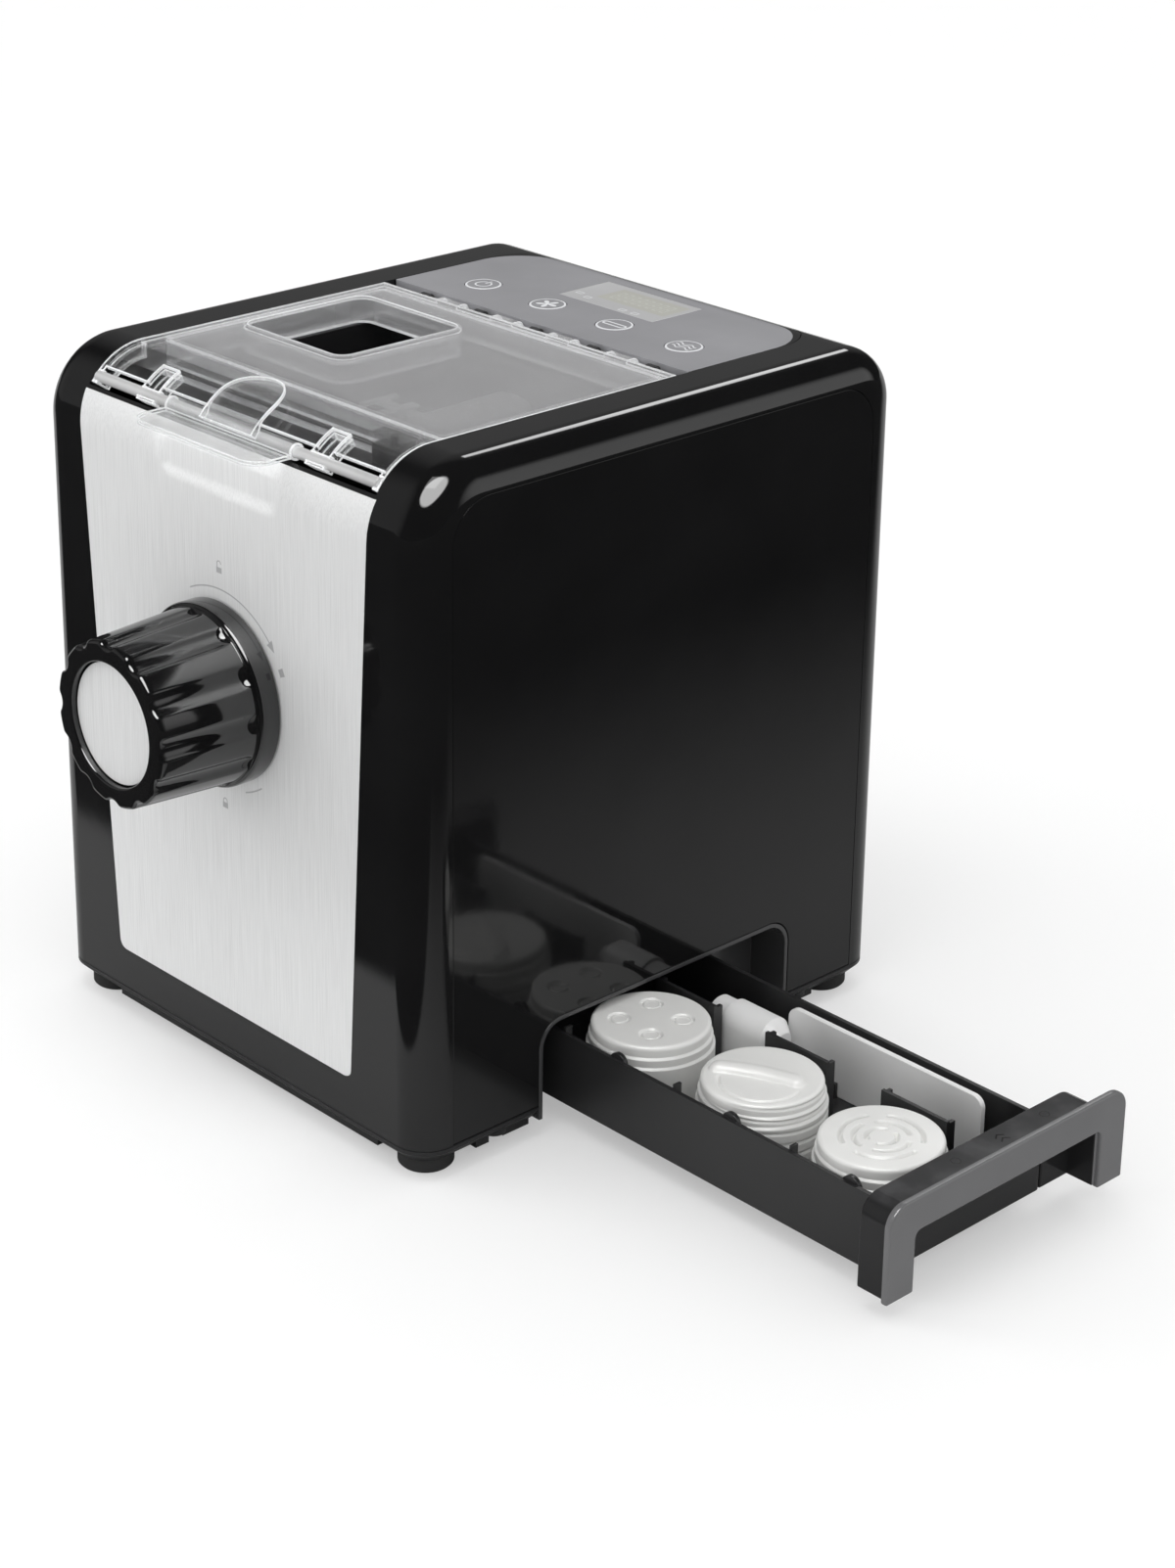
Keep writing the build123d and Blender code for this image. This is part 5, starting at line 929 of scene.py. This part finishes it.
def edge_lines(name, source, body):
    """Thin glowing tubes just inside the sharp edges of a clear piece: painted highlights where its thick
    polished rims would gather light.
    """
    shape = bmesh.new()
    shape.from_mesh(source.data)
    bmesh.ops.remove_doubles(shape, verts=shape.verts, dist=SEAM)
    bmesh.ops.dissolve_limit(shape, angle_limit=FLAT_ANGLE, verts=shape.verts, edges=shape.edges)
    turn = full_turn(LINE_SIDES)[:, None]
    points, faces = [], []
    for edge in shape.edges:
        if len(edge.link_faces) != 2 or edge.calc_length() < LINE_SHORTEST:
            continue
        if edge.calc_face_angle() < SHARP_ANGLE:
            continue
        inward = -(edge.link_faces[0].normal + edge.link_faces[1].normal).normalized()
        ends = [np.array(v.co + inward * LINE_RADIUS * LINE_INSET * MM) / MM for v in edge.verts]
        aim = (edge.verts[1].co - edge.verts[0].co).normalized()
        side, up = np.array(inward), np.array(aim.cross(inward))
        ring = LINE_RADIUS * (side * np.cos(turn) + up * np.sin(turn))
        first = 2 * LINE_SIDES * len(points)
        points.append(np.concatenate([ends[0] + ring, ends[1] + ring]))
        faces += grid_quads(2, LINE_SIDES, wrap=True, first=first).tolist()
        faces.append(list(range(first + LINE_SIDES - 1, first - 1, -1)))
        faces.append(list(range(first + LINE_SIDES, first + 2 * LINE_SIDES)))
    shape.free()
    lines = solid(name, np.concatenate(points), faces, "glowing_edge_line", body)


# Spare dies
DIE_RADIUS, DIE_TOP_RADIUS, DIE_BORE, DIE_FLOOR = 26.5, 24.7, 22.5, 6.0
NECK_RADIUS, DIE_SIDES, DIE_STEP = DIE_TOP_RADIUS + 0.9, 220, 0.35
THREAD_PITCH, THREAD_HALF, THREAD_SOFTNESS, THREAD_DEPTH = 5.0, 0.9, 0.7, 0.7
BAR_RISE = 3.0


def ring_relief(x, y):
    """Three broken rings of slots."""
    r, turn = np.hypot(x, y), np.arctan2(y, x)
    depth = np.zeros_like(x)
    for k, radius in enumerate((6.0, 11.0, 16.0)):
        gap = smooth((np.cos(turn * (3 if k else 2) + 1.1 * k) + 0.82) / 0.2)
        depth = np.maximum(depth, smooth((1.0 - np.abs(r - radius)) / 0.45) * gap)
    return -2.4 * depth


def bar_relief(x, y):
    """A rounded bar laid across, with a curved groove round one end of it."""
    turn = math.radians(25)
    along, beside = x * math.cos(turn) + y * math.sin(turn), y * math.cos(turn) - x * math.sin(turn)
    beside = beside + 0.006 * along ** 2 - 1.0
    off = np.hypot(np.clip(np.abs(along + 2) - 15.5, 0, None), beside)
    bar = BAR_RISE * np.sqrt(np.clip(1 - (off / 4.2) ** 2, 0, 1))
    groove = smooth((0.9 - np.abs(np.hypot(x - 2, y + 3) - 17.0)) / 0.6) * smooth((-beside - 5) / 3)
    return bar - 0.9 * groove


def hole_relief(x, y):
    """Four round outlets, each in a shallow ring, on two crossed lines."""
    depth = np.zeros_like(x)
    for k in range(4):
        turn = math.radians(45 + 90 * k)
        off = np.hypot(x - 13.0 * math.cos(turn), y - 13.0 * math.sin(turn))
        depth = np.maximum(depth, smooth((0.9 - np.abs(off - 4.0)) / 0.6))
        depth = np.maximum(depth, smooth((3.4 - off) / 0.8) * 0.55)
    return -depth


def spare_die(node, relief, rise=0.0, threaded=False):
    """A die as a turned cup: a flat end with relief, two steps below it and a hollow underside. A
    threaded one has a shallow spiral groove in its wall."""
    low, high = (corner * 1000 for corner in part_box(node))
    centre, top = (low + high) / 2, high.z - rise
    corners = [(0.0, top), (DIE_TOP_RADIUS, top), (DIE_TOP_RADIUS, top - 4.6), (NECK_RADIUS, top - 5.6),
               (NECK_RADIUS, top - 8.6), (DIE_RADIUS, top - 9.6), (DIE_RADIUS, low.z), (DIE_BORE, low.z),
               (DIE_BORE, top - DIE_FLOOR), (0.0, top - DIE_FLOOR)]
    path = rounded_path(corners, [0, 1.6, 0.3, 0.4, 0.3, 0.4, 0.8, 0.3, 0.3, 0], 5)

    def shown(start, end):
        return start[1] > top - 0.1 or (min(start[0], end[0]) > DIE_BORE + 1 and start[1] > low.z + 1)

    dense = resampled(path, DIE_STEP, shown)
    turn = full_turn(DIE_SIDES)
    radius, z = np.broadcast_arrays(dense[:, :1], dense[:, 1:] + 0 * turn[None, :])
    x, y = radius * np.cos(turn), radius * np.sin(turn)
    height = np.where(z > top - 0.3, relief(x, y) * smooth((DIE_TOP_RADIUS - 0.6 - radius) / 1.6), 0.0)
    if threaded:
        groove = top - 2.0 - ((turn / (2 * math.pi) * THREAD_PITCH) % THREAD_PITCH)[None, :]
        off = np.abs((z - groove + THREAD_PITCH / 2) % THREAD_PITCH - THREAD_PITCH / 2)
        cut = smooth((THREAD_HALF - off) / THREAD_SOFTNESS) * smooth(top - 1 - z) * (radius > DIE_BORE + 1)
        radius = radius - THREAD_DEPTH * cut
        x, y = radius * np.cos(turn), radius * np.sin(turn)
    points = np.stack([centre.x + x, centre.y + y, z + height], axis=-1)
    rows, columns = points.shape[:2]
    die = solid(node + "_turned", points, grid_quads(rows, columns, wrap=True), "die_white", "drawer", node)


steel_front()
locking_knob()
glossy_case()
drawer_handle()
# Painted highlights: glowing lines along the rims of the clear latch and lid
edge_lines("latch_edges", clear_latch(), "latch")
edge_lines("lid_edges", frame["nodes"]["lid"], "lid")
spare_die("ring_die", ring_relief)
spare_die("bar_die", bar_relief, BAR_RISE, True)
spare_die("hole_die", hole_relief)


# Stage
FLOOR_REACH = 12.0
STAGE_WHITE = (0.93, 0.93, 0.93)
DARK_START, DARK_END = 160.0, 520.0
TABLE_EDGE, TABLE_EDGE_SOFTNESS = -232.0, 12.0
GLOW = 0.38


def floor():
    """A pale floor. What black faces mirror of it gets darker towards the drawer side and ends in front."""
    bpy.ops.mesh.primitive_plane_add(size=2 * FLOOR_REACH)
    plane = bpy.context.object
    plane.name = "floor"
    shader = Shader("floor_paper", Roughness=0.9, Specular_IOR_Level=0.1, Emission_Strength=1.0)
    path = shader.node("ShaderNodeLightPath")
    x, y, _ = shader.axes()
    dark = x.step(DARK_START, DARK_END).high(y.step(TABLE_EDGE, TABLE_EDGE - TABLE_EDGE_SOFTNESS))
    fade = (dark * 0.6 + 0.4) * path["Is Glossy Ray"]
    paper = shader.mix(STAGE_WHITE, (0.9, 0.9, 0.9), shader.noise(3.0, 3.0) * 0.3)
    paper = shader.mix(paper, (0.02, 0.02, 0.02), fade)
    seen = path["Is Camera Ray"]
    shader.set(Base_Color=shader.mix(paper, (1.0 - GLOW, 1.0 - GLOW, 1.0 - GLOW), seen),
               Emission_Color=shader.mix((0.0, 0.0, 0.0), (GLOW, GLOW, GLOW), seen))
    shader.bump(shader.noise(400.0, 3.0), 0.05 * MM, 0.2)
    plane.data.materials.append(shader.material)


def area_light(name, place, target, size, power, mirrored):
    """A softbox that faces a target. A mirrored one shows in glossy faces."""
    data = bpy.data.lights.new(name, "AREA")
    data.shape = "RECTANGLE"
    data.size, data.size_y = size
    data.energy = power
    lamp = bpy.data.objects.new(name, data)
    bpy.context.collection.objects.link(lamp)
    lamp.location = place
    lamp.rotation_euler = (Vector(target) - Vector(place)).to_track_quat("-Z", "Y").to_euler()
    lamp.visible_glossy = mirrored


# Each card's direction, the cosines where it begins and is full, and its brightness
CARDS = [((0.72, 0.68, 0.2), 0.9, 0.985, 1.1), ((-0.66, 0.58, 0.46), 0.8, 0.98, 0.18),
         ((-0.75, -0.6, 0.3), 0.75, 0.97, 0.25), ((0.25, -0.36, 0.9), 0.905, 0.935, 10.0),
         ((-0.411, 0.674, 0.613), 0.993, 0.998, 6.0)]
ROOM_GREY = 0.02
ROOM_WHITE = 0.98


def studio():
    """Even white light all round. Glossy and clear faces see a dark room with a few soft white cards."""
    world = bpy.data.worlds.new("studio")
    bpy.context.scene.world = world
    world.use_nodes = True
    tree = world.node_tree
    tree.nodes.clear()

    def node(kind, operation=None, *inputs):
        made = tree.nodes.new(kind)
        if operation:
            made.operation = operation
        for k, value in enumerate(inputs):
            if isinstance(value, bpy.types.NodeSocket):
                tree.links.new(value, made.inputs[k])
            else:
                made.inputs[k].default_value = value
        return made

    direction = node("ShaderNodeTexCoord").outputs["Generated"]
    bright = ROOM_GREY
    for aim, start, end, white in CARDS:
        towards = tuple(Vector(aim).normalized())
        dot = node("ShaderNodeVectorMath", "DOT_PRODUCT", direction, towards).outputs["Value"]
        card = node("ShaderNodeMapRange", None, dot, start, end, 0.0, white)
        card.interpolation_type = "SMOOTHSTEP"
        bright = node("ShaderNodeMath", "MAXIMUM", bright, card.outputs["Result"]).outputs[0]
    seen = node("ShaderNodeLightPath").outputs["Is Glossy Ray"]
    difference = node("ShaderNodeMath", "SUBTRACT", bright, ROOM_WHITE).outputs[0]
    level = node("ShaderNodeMath", "MULTIPLY_ADD", difference, seen, ROOM_WHITE).outputs[0]
    background = node("ShaderNodeBackground", None, (1.0, 1.0, 1.0, 1.0), level)
    tree.links.new(background.outputs[0], node("ShaderNodeOutputWorld").inputs[0])
    area_light("top_softbox", (0.1, -0.35, 1.3), (0.0, 0.0, 0.25), (0.5, 0.35), 1.4, True)
    area_light("left_softbox", (-1.1, -0.9, 0.8), (0.0, 0.0, 0.15), (0.7, 0.9), 4.0, False)


CAMERA_PLACE = (0.98431, -0.86864, 0.68952)
CAMERA_TURN, CAMERA_TILT, CAMERA_ROLL = 0.8099, 0.3630, 0.0141
SENSOR, LENS, SHIFT = 36.0, 75.73, -0.13


def camera():
    """The photograph's camera, fitted to the edges of the object in it."""
    data = bpy.data.cameras.new("photograph")
    data.sensor_width = SENSOR
    data.lens = LENS
    data.shift_y = SHIFT
    lens = bpy.data.objects.new("photograph", data)
    bpy.context.collection.objects.link(lens)
    turn = Matrix.Rotation(CAMERA_TURN, 4, "Z") @ Matrix.Rotation(math.pi / 2 - CAMERA_TILT, 4, "X")
    roll = Matrix.Rotation(CAMERA_ROLL, 4, "Z")
    lens.matrix_world = Matrix.Translation(CAMERA_PLACE) @ turn @ roll
    bpy.context.scene.camera = lens


floor()
studio()
camera()
bpy.context.scene.view_settings.view_transform = "Standard"
